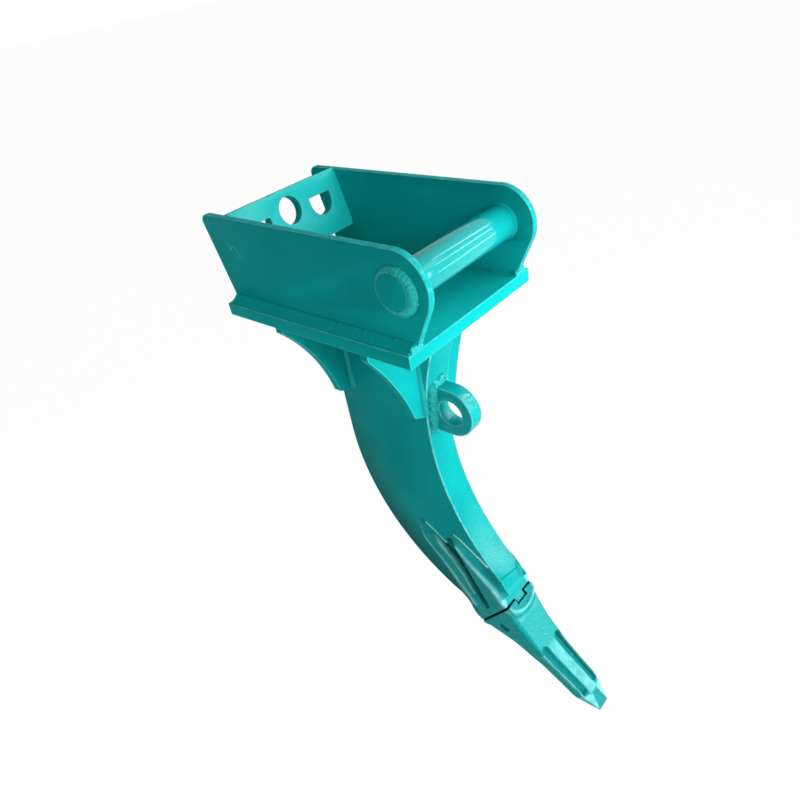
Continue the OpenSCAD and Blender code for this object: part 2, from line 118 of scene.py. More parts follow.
class Sheet:
    """Adds nodes to one tree and joins them."""

    def __init__(self, tree: NodeTree) -> None:
        """Keeps the tree that the nodes go into."""
        self.tree = tree

    def add(self, kind: str, inputs: dict | None = None, **settings: object) -> Node:
        """Adds one node.

        Args:
            kind: the node's type name.
            inputs: terms, sockets or values for its inputs, by name or number.
            **settings: values for the node's own properties.

        Returns:
            The new node.
        """
        node = self.tree.nodes.new(kind)
        for name, value in settings.items():
            setattr(node, name, value)
        for key, value in (inputs or {}).items():
            self.feed(node.inputs[key], value)
        return node

    def feed(self, socket: NodeSocket, value: object) -> None:
        """Joins a socket to another, or sets it to a plain value."""
        value = value.socket if isinstance(value, Term) else value
        if isinstance(value, NodeSocket):
            self.tree.links.new(value, socket)
        else:
            socket.default_value = value

    def math(self, operation: str, *values: object) -> Term:
        """Adds a math node for terms or numbers."""
        return Term(self, self.add("ShaderNodeMath", dict(enumerate(values)), operation=operation).outputs[0])

    def vector(self, operation: str, first: object, second: object = None) -> Term:
        """Adds a vector math node.

        Args:
            operation: the node's operation; SCALE takes a number as second, LENGTH takes no second.
            first: term or vector.
            second: term, vector or number.

        Returns:
            The resulting vector or number.
        """
        inputs = {0: first}
        if second is not None:
            inputs["Scale" if operation == "SCALE" else 1] = second
        node = self.add("ShaderNodeVectorMath", inputs, operation=operation)
        return Term(self, node.outputs["Value" if operation in ("LENGTH", "DOT_PRODUCT") else "Vector"])

    def noise(self, place: object, scale: object, detail: float = 2.0) -> Term:
        """Adds a noise texture with so many features per metre, from 0 to 1."""
        inputs = {"Vector": place, "Scale": scale, "Detail": detail}
        return Term(self, self.add("ShaderNodeTexNoise", inputs).outputs[0])

    def spread(self, value: object, low: float, high: float, to_low: object = 0.0, to_high: object = 1.0) -> Term:
        """Maps a value from one range to another, held at its ends."""
        numbers = dict(enumerate((value, low, high, to_low, to_high)))
        return Term(self, self.add("ShaderNodeMapRange", numbers).outputs[0])

    def mix(self, share: object, first: object, second: object) -> NodeSocket:
        """Mixes two colours by a share."""
        return self.add("ShaderNodeMix", {0: share, 6: first, 7: second}, data_type="RGBA").outputs[2]

    def level(self, place: object) -> NodeSocket:
        """The height of a place."""
        return self.add("ShaderNodeSeparateXYZ", {0: place}).outputs["Z"]

    def bump(self, height: object, depth: float, under: object = None) -> NodeSocket:
        """Adds a bump, of a depth in metres, over an earlier normal if there is one."""
        over = {} if under is None else {"Normal": under}
        return self.add("ShaderNodeBump", {"Distance": depth, "Height": height, **over}).outputs["Normal"]

    def named(self, name: str, kind: str) -> NodeSocket:
        """Reads a geometry's attribute by name."""
        return self.add("GeometryNodeInputNamedAttribute", {"Name": name}, data_type=kind).outputs[0]

    def capture(self, geometry: object, **values: tuple[str, object]) -> list[Term]:
        """Keeps values on a geometry's points.

        Args:
            geometry: the geometry.
            **values: type and value by name.

        Returns:
            The geometry and then the kept values.
        """
        keep = self.add("GeometryNodeCaptureAttribute")
        for name, (kind, _) in values.items():
            keep.capture_items.new(kind, name)
        for name, value in {"Geometry": geometry, **{name: value for name, (_, value) in values.items()}}.items():
            self.feed(keep.inputs[name], value)
        return [Term(self, keep.outputs[name]) for name in ("Geometry", *values)]


def sockets(kind: str, *names: str) -> dict[str, str]:
    """Socket types by name, all of one kind."""
    return dict.fromkeys(names, f"NodeSocket{kind}")


def node_group(name: str, kind: str, inputs: dict[str, str], outputs: dict[str, str], fill: Callable) -> NodeTree:
    """Finds a node group, or builds it at its first use.

    Args:
        name: the group's name.
        kind: its tree's type name.
        inputs: socket types by name.
        outputs: socket types by name.
        fill: takes the sheet and the inputs' terms by name, and gives what goes out, in order.

    Returns:
        The group.
    """
    tree = bpy.data.node_groups.get(name)
    if tree:
        return tree
    tree = bpy.data.node_groups.new(name, kind)
    for way, ends in (("INPUT", inputs), ("OUTPUT", outputs)):
        for label, socket in ends.items():
            tree.interface.new_socket(name=label, in_out=way, socket_type=socket)
    sheet = Sheet(tree)
    given = sheet.add("NodeGroupInput").outputs
    results = fill(sheet, {label: Term(sheet, given[label]) for label in inputs})
    sheet.add("NodeGroupOutput", dict(zip(outputs, results)))
    return tree


class Effect(Enum):
    """Surface effects that several finishes share, each a shader node group."""

    PEEL = "orange_peel"
    GRAIN = "cast_grain"
    TONE = "paint_tone"
    CUT = "cut_edge_lines"
    WET = "wet_coat"

    def use(self, sheet: Sheet, **inputs: object) -> dict[str, Term]:
        """Adds the effect to a material.

        Args:
            sheet: the material's tree.
            **inputs: what its inputs take, by name.

        Returns:
            Its results by name.
        """
        group = node_group(self.value, "ShaderNodeTree", *EFFECTS[self])
        node = sheet.add("ShaderNodeGroup", inputs, node_tree=group)
        return {socket.name: Term(sheet, socket) for socket in node.outputs}


def fill_peel(sheet: Sheet, given: dict[str, Term]) -> tuple:
    """Gives sprayed paint its slight orange peel and its uneven gloss."""
    fine = sheet.noise(given["Vector"], given["Scale"], 1.0)
    broad = sheet.noise(given["Vector"], given["Scale"] * 0.06)
    wander = sheet.spread(sheet.noise(given["Vector"], 18.0, 4.0), 0.3, 0.7, 0.8, 1.25)
    return fine + broad * 0.8, given["Gloss"] * wander


def fill_grain(sheet: Sheet, given: dict[str, Term]) -> tuple:
    """Gives sand-cast and rough-rolled faces their grain, and a speck mask from it that the paints turn into painted
    glints.
    """
    place, scale = given["Vector"], given["Scale"]
    sand = sheet.noise(place, scale, 3.0)
    pits = sheet.add("ShaderNodeTexVoronoi", {"Vector": place, "Scale": scale * 0.45})
    dimple = sheet.spread(pits.outputs["Distance"], 0.0, 0.45)
    lumps = sheet.noise(place, scale * 0.12)
    return sand + dimple * 0.35 + lumps * 2.5, sheet.spread(sand, 0.56, 0.7)


def fill_tone(sheet: Sheet, given: dict[str, Term]) -> tuple:
    """Lets the paint's colour drift at random, paints highlights pale where marked, pales its specks, and paints shade
    dark where marked.
    """
    cloud = sheet.spread(sheet.noise(given["Vector"], 9.0, 4.0), 0.35, 0.68)
    deep = sheet.mix(cloud * given["Drift"], given["Base"], given["Deep"])
    # Painted highlight: the marked share, broken up by noise, turns pale.
    rub = given["Rim"] * sheet.spread(sheet.noise(given["Vector"], 60.0, 3.0), 0.35, 0.65, 0.4, 0.95)
    pale = sheet.mix(sheet.math("MAXIMUM", rub, given["Specks"]), deep, given["Pale"])
    # Painted shade: the marked share turns to the shade colour.
    return (sheet.mix(given["Hollow"], pale, given["Dark"]),)


def fill_cut(sheet: Sheet, given: dict[str, Term]) -> tuple:
    """Rules flame-cut lines and chips across a plate's edges and leaves its faces plain."""
    lines = sheet.noise(sheet.vector("MULTIPLY", given["Vector"], given["Through"]), 520.0)
    blank = sheet.vector("MULTIPLY", given["Normal"], sheet.vector("SUBTRACT", WHITE, given["Through"]))
    on_edge = sheet.spread(sheet.vector("LENGTH", blank), 0.3, 0.7, 1.0, 0.0)
    chips = sheet.spread(sheet.noise(given["Vector"], 150.0, 5.0), 0.54, 0.66)
    return lines * on_edge, chips * on_edge


def fill_wet(sheet: Sheet, given: dict[str, Term]) -> tuple:
    """Leaves a thicker, glossier coat on faces that point one way."""
    dot = sheet.vector("DOT_PRODUCT", given["Normal"], given["Toward"])
    return (sheet.spread(dot, 0.84, 0.99) * given["Sheen"],)


EFFECTS = {
    Effect.PEEL: (
        sockets("Vector", "Vector") | sockets("Float", "Scale", "Gloss"), sockets("Float", "Height", "Roughness"),
        fill_peel,
    ),
    Effect.GRAIN: (
        sockets("Vector", "Vector") | sockets("Float", "Scale"), sockets("Float", "Height", "Specks"), fill_grain,
    ),
    Effect.TONE: (
        sockets("Vector", "Vector") | sockets("Color", "Base", "Deep", "Pale", "Dark")
        | sockets("Float", "Drift", "Rim", "Specks", "Hollow"),
        sockets("Color", "Color"), fill_tone,
    ),
    Effect.CUT: (sockets("Vector", "Vector", "Normal", "Through"), sockets("Float", "Height", "Chips"), fill_cut),
    Effect.WET: (
        sockets("Vector", "Normal", "Toward") | sockets("Float", "Sheen"), sockets("Float", "Coat"), fill_wet,
    ),
}


@dataclass(frozen=True)
class Finish:
    """A look that is built as a material at its first use."""

    name: str

    def material(self) -> Material:
        """The finish as a material."""
        made = bpy.data.materials.get(self.name)
        if not made:
            made = bpy.data.materials.new(self.name)
            made.use_nodes = True
            made.node_tree.nodes.clear()
            sheet = Sheet(made.node_tree)
            sheet.add("ShaderNodeOutputMaterial", {"Surface": self.fill(sheet)})
        return made

    def fill(self, sheet: Sheet) -> NodeSocket:
        """Lays out the finish's nodes and gives its surface."""
        raise NotImplementedError


@dataclass(frozen=True)
class PaintFinish(Finish):
    """Gloss turquoise paint over one kind of steel surface."""

    base: tuple = linear(16, 186, 185)
    deep: tuple = linear(10, 170, 167)
    # pale: colour of painted highlights and glints, and of chipped edges.
    pale: tuple = linear(95, 220, 220)
    # dark: colour of painted shade.
    dark: tuple = linear(4, 104, 101)
    drift: float = 0.5
    gloss: float = 0.3
    peel_scale: float = 430.0
    peel_depth: float = 0.05 * MM
    grain_scale: float = 0.0
    grain_depth: float = 0.25 * MM
    grain_from: tuple | None = None
    speck_share: float = 0.0
    speck_floor: float = 0.1
    cut_through: tuple | None = None
    cut_depth: float = 0.5 * MM
    chip_share: float = 0.0
    specular: float = 0.005
    sheen: float = 0.15
    coat_rough: float = 0.45
    toward: tuple = (0.62, 0.0, 0.785)
    shade: tuple | None = None
    shade_arc: tuple | None = None

    def fill(self, sheet: Sheet) -> NodeSocket:
        """Lays out the paint's nodes.

        Args:
            sheet: the material's empty tree.

        Returns:
            The painted surface.
        """
        given = sheet.add("ShaderNodeTexCoord").outputs
        place, facing = given["Object"], given["Normal"]
        coat = Effect.WET.use(sheet, Normal=facing, Toward=self.toward, Sheen=self.sheen)["Coat"]
        peel = Effect.PEEL.use(sheet, Vector=place, Scale=self.peel_scale, Gloss=self.gloss)
        normal = sheet.bump(peel["Height"], self.peel_depth)
        specks = 0.0
        if self.grain_scale:
            grain = Effect.GRAIN.use(sheet, Vector=place, Scale=self.grain_scale)
            height = grain["Height"]
            if self.grain_from:
                share = sheet.spread(sheet.level(place), *self.grain_from)
                height = height * share
                coat = coat * sheet.math("MAXIMUM", share, 0.15)
            # Painted glints: pale specks from the grain, stronger on the faces that the coat mask favours.
            specks = grain["Specks"] * sheet.math("MAXIMUM", coat, self.speck_floor) * self.speck_share
            normal = sheet.bump(height, self.grain_depth, normal)
        if self.cut_through:
            cut = Effect.CUT.use(sheet, Vector=place, Normal=facing, Through=self.cut_through)
            normal = sheet.bump(cut["Height"], self.cut_depth, normal)
            # On cut edges the pale marks are paint chips instead, which are wear.
            specks = cut["Chips"] * self.chip_share if self.chip_share else specks
        # The rim attribute marks painted highlights, the hollow attribute painted shade.
        rim, hollow = (sheet.add("ShaderNodeAttribute", attribute_name=n).outputs["Fac"] for n in ("rim", "hollow"))
        colour = Effect.TONE.use(
            sheet, Vector=place, Base=self.base, Deep=self.deep, Pale=self.pale, Dark=self.dark, Drift=self.drift,
            Rim=rim, Specks=specks, Hollow=hollow,
        )["Color"]
        shader = sheet.add("ShaderNodeBsdfPrincipled", {
            "Base Color": self.shaded(sheet, place, colour) if self.shade_arc else colour,
            "Roughness": peel["Roughness"], "Specular IOR Level": self.specular, "Normal": normal,
            "Coat Weight": coat, "Coat Roughness": self.coat_rough, "Coat Normal": normal,
        })
        return shader.outputs["BSDF"]

    def shaded(self, sheet: Sheet, place: NodeSocket, colour: Term) -> NodeSocket:
        """Darkens the paint's colour in a band along a curved rear edge, more so lower down.

        Args:
            sheet: the material's tree.
            place: where the paint is.
            colour: the paint's colour.

        Returns:
            The colour with the shade over it.
        """
        centre_x, centre_z, radius, width, high, low = self.shade_arc
        from_centre = sheet.vector("SUBTRACT", place, (centre_x, 0.0, centre_z))
        far = sheet.vector("LENGTH", sheet.vector("MULTIPLY", from_centre, (1.0, 0.0, 1.0)))
        share = sheet.spread(far, radius - width, radius) * sheet.spread(sheet.level(place), high, low, 0.25, 1.0)
        return sheet.mix(share, colour, self.shade)


@dataclass(frozen=True)
class SteelFinish(Finish):
    """Bare steel with an uneven film of overspray."""

    bright: tuple = linear(150, 190, 188)
    dark: tuple = linear(8, 160, 157)

    def fill(self, sheet: Sheet) -> NodeSocket:
        """Lays out the steel's nodes.

        Args:
            sheet: the material's empty tree.

        Returns:
            The steel surface.
        """
        place = sheet.add("ShaderNodeTexCoord").outputs["Object"]
        grain = Effect.GRAIN.use(sheet, Vector=place, Scale=700.0)
        film = sheet.spread(sheet.noise(place, 90.0, 5.0), 0.3, 0.46)
        return sheet.add("ShaderNodeBsdfPrincipled", {
            "Base Color": sheet.mix(film, self.bright, self.dark), "Metallic": sheet.spread(film, 0.0, 1.0, 1.0, 0.25),
            "Roughness": sheet.spread(film, 0.0, 1.0, 0.38, 0.75), "Normal": sheet.bump(grain["Height"], 0.08 * MM),
        }).outputs["BSDF"]


def seen(sheet: Sheet) -> Term:
    """A mask of the rays that show the background: from the camera, by reflection or through glass."""
    path = sheet.add("ShaderNodeLightPath").outputs
    near = sheet.math("MAXIMUM", path["Is Camera Ray"], path["Is Glossy Ray"])
    return sheet.math("MAXIMUM", near, path["Is Transmission Ray"])


@dataclass(frozen=True)
class FloorFinish(Finish):
    """A pale matt floor that looks white and keeps the object's shadow."""

    pale: float = 0.86
    glow: float = 1.02
    glow_share: float = 0.95

    def fill(self, sheet: Sheet) -> NodeSocket:
        """Lays out the floor's nodes.

        Args:
            sheet: the material's empty tree.

        Returns:
            The floor's surface.
        """
        matt = sheet.add("ShaderNodeBsdfDiffuse", {"Color": (self.pale, self.pale, self.pale, 1.0)})
        glow = sheet.add("ShaderNodeEmission", {"Strength": self.glow})
        share = seen(sheet) * self.glow_share
        return sheet.add("ShaderNodeMixShader", {0: share, 1: matt.outputs[0], 2: glow.outputs[0]}).outputs[0]


PLATE_Y = PaintFinish(
    "paint_plate", pale=linear(120, 222, 222), cut_through=(1.0, 0.04, 1.0), cut_depth=0.8 * MM, chip_share=0.35
)
PLATE_X = PaintFinish("paint_gusset", cut_through=(0.04, 1.0, 1.0))
# A little lighter than the plates' paint: painted light on the base plate.
BASE = PaintFinish("paint_base", base=linear(16, 192, 190), deep=linear(10, 178, 176), cut_through=(1.0, 1.0, 0.04))
EYE = PaintFinish("paint_eye", gloss=0.2, peel_depth=0.03 * MM, specular=0.05, sheen=0.9, coat_rough=0.2)
LOCK = PaintFinish(
    "paint_lock_plate", grain_scale=640.0, grain_depth=0.14 * MM, speck_share=0.6, sheen=0.45, coat_rough=0.4,
    toward=(0.97, 0.0, 0.24),
)
SHANK = PaintFinish(
    "paint_shank", pale=linear(150, 236, 240), cut_through=(1.0, 0.04, 1.0), grain_scale=560.0,
    grain_depth=0.16 * MM, grain_from=(-0.40, -0.58), speck_share=0.9, drift=0.8, sheen=1.0,
    shade=linear(8, 112, 108), shade_arc=(0.095, -0.361, 0.357, 0.075, -0.25, -0.55),
)
BAR = PaintFinish(
    "paint_bar", base=linear(14, 172, 171), deep=linear(9, 158, 156), gloss=0.08, peel_depth=0.002 * MM, drift=0.3,
    specular=0.28, sheen=0.0,
)
CAST = PaintFinish(
    "paint_cast", base=linear(16, 174, 174), pale=linear(160, 250, 247), grain_scale=620.0, grain_depth=0.2 * MM,
    speck_share=0.8, speck_floor=0.45, specular=0.02, sheen=0.3,
)
BEAD = PaintFinish(
    "paint_weld", base=linear(16, 190, 188), grain_scale=700.0, grain_depth=0.05 * MM, speck_share=0.3,
    gloss=0.22, specular=0.16, sheen=0.3,
)
# Painted highlight: paler beads with heavy pale specks, for the bar rings, the eye and the bevel fillets.
RING = PaintFinish(
    "paint_weld_rubbed", base=linear(36, 210, 203), deep=linear(16, 180, 176), pale=linear(190, 248, 248), drift=0.9,
    grain_scale=640.0, grain_depth=0.08 * MM, speck_share=0.9, speck_floor=0.35, gloss=0.22, specular=0.1, sheen=0.3,
)
# Lighter than the plates' paint: painted light on the smooth fillets.
COVE = PaintFinish(
    "paint_weld_smooth", base=linear(16, 204, 202), deep=linear(12, 188, 186), grain_scale=500.0,
    grain_depth=0.08 * MM, sheen=0.1,
)
# Painted shade: near-black blocks in the joint's gap and the slots' ends.
GRIME = PaintFinish(
    "joint_grime", base=linear(2, 34, 38), deep=linear(0, 20, 24), pale=linear(8, 60, 64), gloss=0.8, specular=0.0,
    sheen=0.0,
)
# Painted shade: a darker teal for the beads along the bevel's top and the rear leg's back edge.
SHADOW = PaintFinish(
    "paint_thin", base=linear(6, 160, 158), deep=linear(4, 140, 138), pale=linear(20, 180, 178), specular=0.0,
    sheen=0.0,
)
# Painted shade: dark teal for the beads in the slot between the adapter's legs, with pale glint specks on their lumps.
SLOT = PaintFinish(
    "paint_slot", base=linear(8, 112, 107), deep=linear(4, 80, 77), pale=linear(60, 190, 184), drift=1.0,
    grain_scale=600.0, grain_depth=0.3 * MM, speck_share=0.5, specular=0.03, sheen=0.0,
)
# Painted highlight: near-white teal for the beads on the adapter's top and front edges.
CREST = PaintFinish(
    "paint_crest", base=linear(160, 248, 244), deep=linear(96, 234, 228), drift=0.8, specular=0.2, sheen=0.2
)
STEEL = SteelFinish("pin_steel")
FLOOR = FloorFinish("pale_floor")


def settle(piece: Object) -> None:
    """Turns a piece and its modifiers into one plain mesh."""
    graph = bpy.context.evaluated_depsgraph_get()
    mesh = bpy.data.meshes.new_from_object(piece.evaluated_get(graph), preserve_all_data_layers=True, depsgraph=graph)
    rough = piece.data
    piece.modifiers.clear()
    piece.data = mesh
    bpy.data.meshes.remove(rough)
    mesh.name = piece.name


def place_piece(piece: Object, slot: Slot, *nodes: str) -> Object:
    """Parents a finished piece to the body and hides the CAD nodes that it stands for.

    Args:
        piece: the piece, at the origin.
        slot: the record's material slot; not used.
        *nodes: the CAD nodes that it stands for.

    Returns:
        The piece.
    """
    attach(piece, BODY)
    if nodes:
        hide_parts(*nodes)
    LOG.info("%s: %d faces", piece.name, len(piece.data.polygons))
    return piece


def new_piece(name: str, mesh: Mesh) -> Object:
    """Puts a mesh into the scene as an object at the origin."""
    piece = bpy.data.objects.new(name, mesh)
    bpy.context.scene.collection.objects.link(piece)
    return piece


def to_mesh(work: bmesh.types.BMesh, mesh: Mesh) -> Mesh:
    """Writes a worked shape into a mesh and lets the work go."""
    work.to_mesh(mesh)
    work.free()
    return mesh


def merged_copy(node: str) -> Mesh:
    """Copies a CAD node's triangles into one merged mesh with its flat faces whole."""
    work = bmesh.new()
    work.from_mesh(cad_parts[node].data)
    bmesh.ops.remove_doubles(work, verts=work.verts, dist=0.002 * MM)
    bmesh.ops.dissolve_limit(work, angle_limit=math.radians(0.3), verts=work.verts, edges=work.edges)
    return to_mesh(work, bpy.data.meshes.new(node))


def turn_out(mesh: Mesh) -> None:
    """Makes a closed mesh's faces point outwards."""
    work = bmesh.new()
    work.from_mesh(mesh)
    bmesh.ops.remove_doubles(work, verts=work.verts, dist=0.001 * MM)
    bmesh.ops.recalc_face_normals(work, faces=work.faces)
    to_mesh(work, mesh).shade_smooth()


def shaped_plate(node: str, finish: PaintFinish, ease: float, fit: Matrix | None = None) -> Object:
    """Makes a plate from its CAD node with eased edges, whose faces carry the rim attribute of painted highlight.

    Args:
        node: the CAD node's name.
        finish: its paint.
        ease: width of the eased edges, in metres.
        fit: small change of the CAD shape, if any.

    Returns:
        The finished piece.
    """
    piece = new_piece(f"{node}_shaped", merged_copy(node))
    if fit:
        piece.data.transform(fit)
    for _ in range(2):
        piece.data.materials.append(finish.material())
    piece.data.shade_smooth()
    bevel = piece.modifiers.new("ease", "BEVEL")
    bevel.width, bevel.segments = ease, 2
    bevel.limit_method, bevel.angle_limit = "ANGLE", math.radians(28)
    bevel.harden_normals = True
    bevel.material = 1
    settle(piece)
    mark_rim(piece.data)
    return place_piece(piece, Slot.PAINT, node)


def mark_rim(mesh: Mesh) -> None:
    """Turns the second material's faces into a rim attribute of painted highlight and leaves one material."""
    index = np.zeros(len(mesh.polygons), np.int32)
    mesh.polygons.foreach_get("material_index", index)
    rim = mesh.attributes.new("rim", "FLOAT", "FACE")
    rim.data.foreach_set("value", (index == 1).astype(np.float32))
    mesh.polygons.foreach_set("material_index", np.zeros_like(index))
    mesh.materials.pop(index=1)


def read_points(mesh: Mesh, layer: str) -> np.ndarray:
    """Reads a mesh's vertex places or normals as rows of three."""
    rows = np.zeros(len(mesh.vertices) * 3, np.float32)
    mesh.vertices.foreach_get(layer, rows)
    return rows.reshape(-1, 3)


def move_points(mesh: Mesh, places: np.ndarray) -> None:
    """Moves a mesh's vertices to new places."""
    mesh.vertices.foreach_set("co", places.astype(np.float32).ravel())
    mesh.update()


def step(value: np.ndarray, low: float, high: float) -> np.ndarray:
    """Rises smoothly from 0 at low to 1 at high."""
    share = np.clip((value - low) / (high - low), 0.0, 1.0)
    return share * share * (3.0 - 2.0 * share)


def band(value: np.ndarray, rise: tuple[float, float], fall: tuple[float, float]) -> np.ndarray:
    """Rises smoothly to 1 over one range and falls back to 0 over another."""
    return step(value, *rise) * (1 - step(value, *fall))


def hill(value: np.ndarray, middle: float, width: float) -> np.ndarray:
    """A soft hill of height 1 about a middle."""
    return np.exp(-(((value - middle) / width) ** 2))


def line_distance(u: np.ndarray, v: np.ndarray, corners: tuple) -> tuple[np.ndarray, np.ndarray, np.ndarray]:
    """Measures points against a line with corners.

    Args:
        u: the points' first coordinates.
        v: the points' second coordinates.
        corners: the line's corners, from its start to its end.

    Returns:
        Distance, share of the line's length where it is nearest, and the line's second coordinate there.
    """
    best = np.full(u.shape, 1e9)
    share, level = np.zeros_like(best), np.zeros_like(best)
    for i, ((u0, v0), (u1, v1)) in enumerate(zip(corners, corners[1:])):
        du, dv = u1 - u0, v1 - v0
        t = np.clip(((u - u0) * du + (v - v0) * dv) / (du * du + dv * dv), 0.0, 1.0)
        gap = np.hypot(u - u0 - t * du, v - v0 - t * dv)
        near = gap < best
        best = np.where(near, gap, best)
        share = np.where(near, (i + t) / (len(corners) - 1), share)
        level = np.where(near, v0 + t * dv, level)
    return best, share, level


def cast_piece(name: str, node: str, voxel: float, lump: float, shape: Callable[[np.ndarray], np.ndarray]) -> Object:
    """Makes a sand-cast piece from its CAD node: round edges, worked forms and an uneven skin.

    Args:
        name: the piece's name.
        node: the CAD node's name.
        voxel: size of the new mesh's faces, in metres.
        lump: height of the skin's lumps, in metres.
        shape: moves the skin's points to the casting's finer forms.

    Returns:
        The finished piece.
    """
    piece = new_piece(name, merged_copy(node))
    remesh = piece.modifiers.new("skin", "REMESH")
    remesh.mode, remesh.voxel_size = "VOXEL", voxel
    smooth = piece.modifiers.new("round", "SMOOTH")
    smooth.factor, smooth.iterations = 0.5, 3
    settle(piece)
    mesh = piece.data
    places = shape(read_points(mesh, "co"))
    move_points(mesh, places)
    normals = read_points(mesh, "normal")
    spots = [Vector(p) for p in places.tolist()]
    waves = np.array([noise.noise(p * 55.0) + 0.45 * noise.noise(p * 170.0) for p in spots], np.float32)
    move_points(mesh, places + normals * (waves * lump)[:, None])
    mesh.shade_smooth()
    mesh.materials.clear()
    mesh.materials.append(CAST.material())
    return place_piece(piece, Slot.PAINT, node)


class NodeForm:
    """A Geometry Nodes tree that turns a path or a patch into a piece."""

    NAME = ""
    INPUTS: dict[str, str] = {}

    @classmethod
    def fill(cls, sheet: Sheet, given: dict[str, Term]) -> NodeSocket:
        """Lays out the form's own nodes and gives its geometry."""
        raise NotImplementedError

    @classmethod
    def end(cls, sheet: Sheet, given: dict[str, Term]) -> tuple:
        """Ends the tree with real geometry and its material."""
        real = sheet.add("GeometryNodeRealizeInstances", {"Geometry": cls.fill(sheet, given)}).outputs[0]
        return (sheet.add("GeometryNodeSetMaterial", {"Geometry": real, "Material": given["Material"]}).outputs[0],)

    @classmethod
    def apply(cls, piece: Object, values: dict[str, object]) -> None:
        """Runs the tree on a piece and leaves a plain mesh.

        Args:
            piece: the piece, which holds the path or the patch.
            values: the tree's inputs by name.
        """
        tree = node_group(cls.NAME, "GeometryNodeTree", cls.INPUTS, sockets("Geometry", "Form"), cls.end)
        modifier = piece.modifiers.new(cls.NAME, "NODES")
        modifier.node_group = tree
        for socket in tree.interface.items_tree:
            if socket.in_out == "INPUT" and socket.name in values:
                modifier[socket.identifier] = values[socket.name]
        settle(piece)


class BeadForm(NodeForm):
    """Lays a rippled fillet weld along a path."""

    NAME = "weld_bead"
    RING = 12
    INPUTS = sockets("Geometry", "Path") | sockets(
        "Float", "Leg", "Step", "Pitch", "Ripple", "Chevron", "Span", "Crest", "Lump", "Lump Scale", "Fullness",
        "Taper", "Floor", "Sink", "Seed",
    ) | sockets("Material", "Material")

    @classmethod
    def fill(cls, sheet: Sheet, given: dict[str, Term]) -> NodeSocket:
        """Sweeps a ring along the evened path and sets its points in place.

        Args:
            sheet: the tree.
            given: its inputs.

        Returns:
            The bead.
        """
        curve = sheet.add("GeometryNodeMeshToCurve", {"Mesh": given["Path"]}).outputs["Curve"]
        even = sheet.add("GeometryNodeResampleCurve", {"Curve": curve, "Length": given["Step"]}, mode="LENGTH")
        spline = sheet.add("GeometryNodeSplineParameter").outputs
        position = sheet.add("GeometryNodeInputPosition").outputs["Position"]
        line, along, share, root = sheet.capture(
            even.outputs["Curve"], along=("FLOAT", spline["Length"]), share=("FLOAT", spline["Factor"]),
            root=("VECTOR", position),
        )
        circle = sheet.add("GeometryNodeCurvePrimitiveCircle", {"Resolution": cls.RING}, mode="RADIUS")
        index = sheet.add("GeometryNodeInputIndex").outputs["Index"]
        ring, turn = sheet.capture(circle.outputs["Curve"], turn=("FLOAT", index))
        sweep = sheet.add("GeometryNodeCurveToMesh", {"Curve": line, "Profile Curve": ring, "Fill Caps": True})
        place = cls.place(sheet, given, along, share, root, turn)
        shift = sheet.add("GeometryNodeSetPosition", {"Geometry": sweep.outputs["Mesh"], "Position": place})
        return sheet.add("GeometryNodeSetShadeSmooth", {"Geometry": shift.outputs["Geometry"]}).outputs[0]

    @classmethod
    def place(cls, sheet: Sheet, given: dict[str, Term], along: Term, share: Term, root: Term, turn: Term) -> Term:
        """Works out where a point of the swept ring goes: round the fillet's face, or to its root.

        Args:
            sheet: the tree.
            given: its inputs.
            along: length of the path so far.
            share: share of the path so far.
            root: the fillet's root there.
            turn: number of the ring's point.

        Returns:
            The point's place.
        """
        last = float(cls.RING - 2)
        side_a, side_b = sheet.named("side_a", "FLOAT_VECTOR"), sheet.named("side_b", "FLOAT_VECTOR")
        across = sheet.math("MINIMUM", turn, last) / last
        angle = across * given["Span"]
        first, second = sheet.math("COSINE", angle), sheet.math("SINE", angle)
        way = sheet.vector("ADD", sheet.vector("SCALE", side_a, first), sheet.vector("SCALE", side_b, second))
        flat = 1.0 / (sheet.math("ABSOLUTE", first) + second)
        shape = flat + (1.0 - flat) * given["Fullness"]
        ends = share / given["Taper"] * ((1.0 - share) / given["Taper"])
        fade = sheet.math("MAXIMUM", sheet.math("MINIMUM", sheet.math("SQRT", ends), 1.0), given["Floor"])
        drift = sheet.vector("SCALE", (0.37, 0.21, 0.53), given["Seed"])
        wide = sheet.noise(sheet.vector("ADD", root, drift), given["Lump Scale"])
        skin_at = sheet.vector("ADD", root, sheet.vector("SCALE", way, given["Leg"]))
        skin = sheet.noise(sheet.vector("ADD", skin_at, drift), given["Lump Scale"] * 2.2)
        bow = across * (1.0 - across)
        beat = (along - bow * given["Chevron"]) / given["Pitch"]
        part = Term(sheet, sheet.named("rough", "FLOAT")) * sheet.spread(across, 0.0, 1.0, 1.0 - given["Crest"])
        wave = sheet.math("POWER", sheet.math("ABSOLUTE", sheet.math("SINE", beat * math.pi)), 0.7) * part
        swell = (wide - 0.5 + (skin - 0.5) * 0.9) * part
        reach = given["Leg"] * (1.0 + swell * given["Lump"]) * shape + wave * given["Ripple"]
        reach = reach * fade * sheet.math("LESS_THAN", turn, last + 0.5)
        sunk = sheet.vector("SCALE", sheet.vector("ADD", side_a, side_b), given["Sink"] * -1.0)
        return sheet.vector("ADD", sheet.vector("ADD", root, sunk), sheet.vector("SCALE", way, reach))


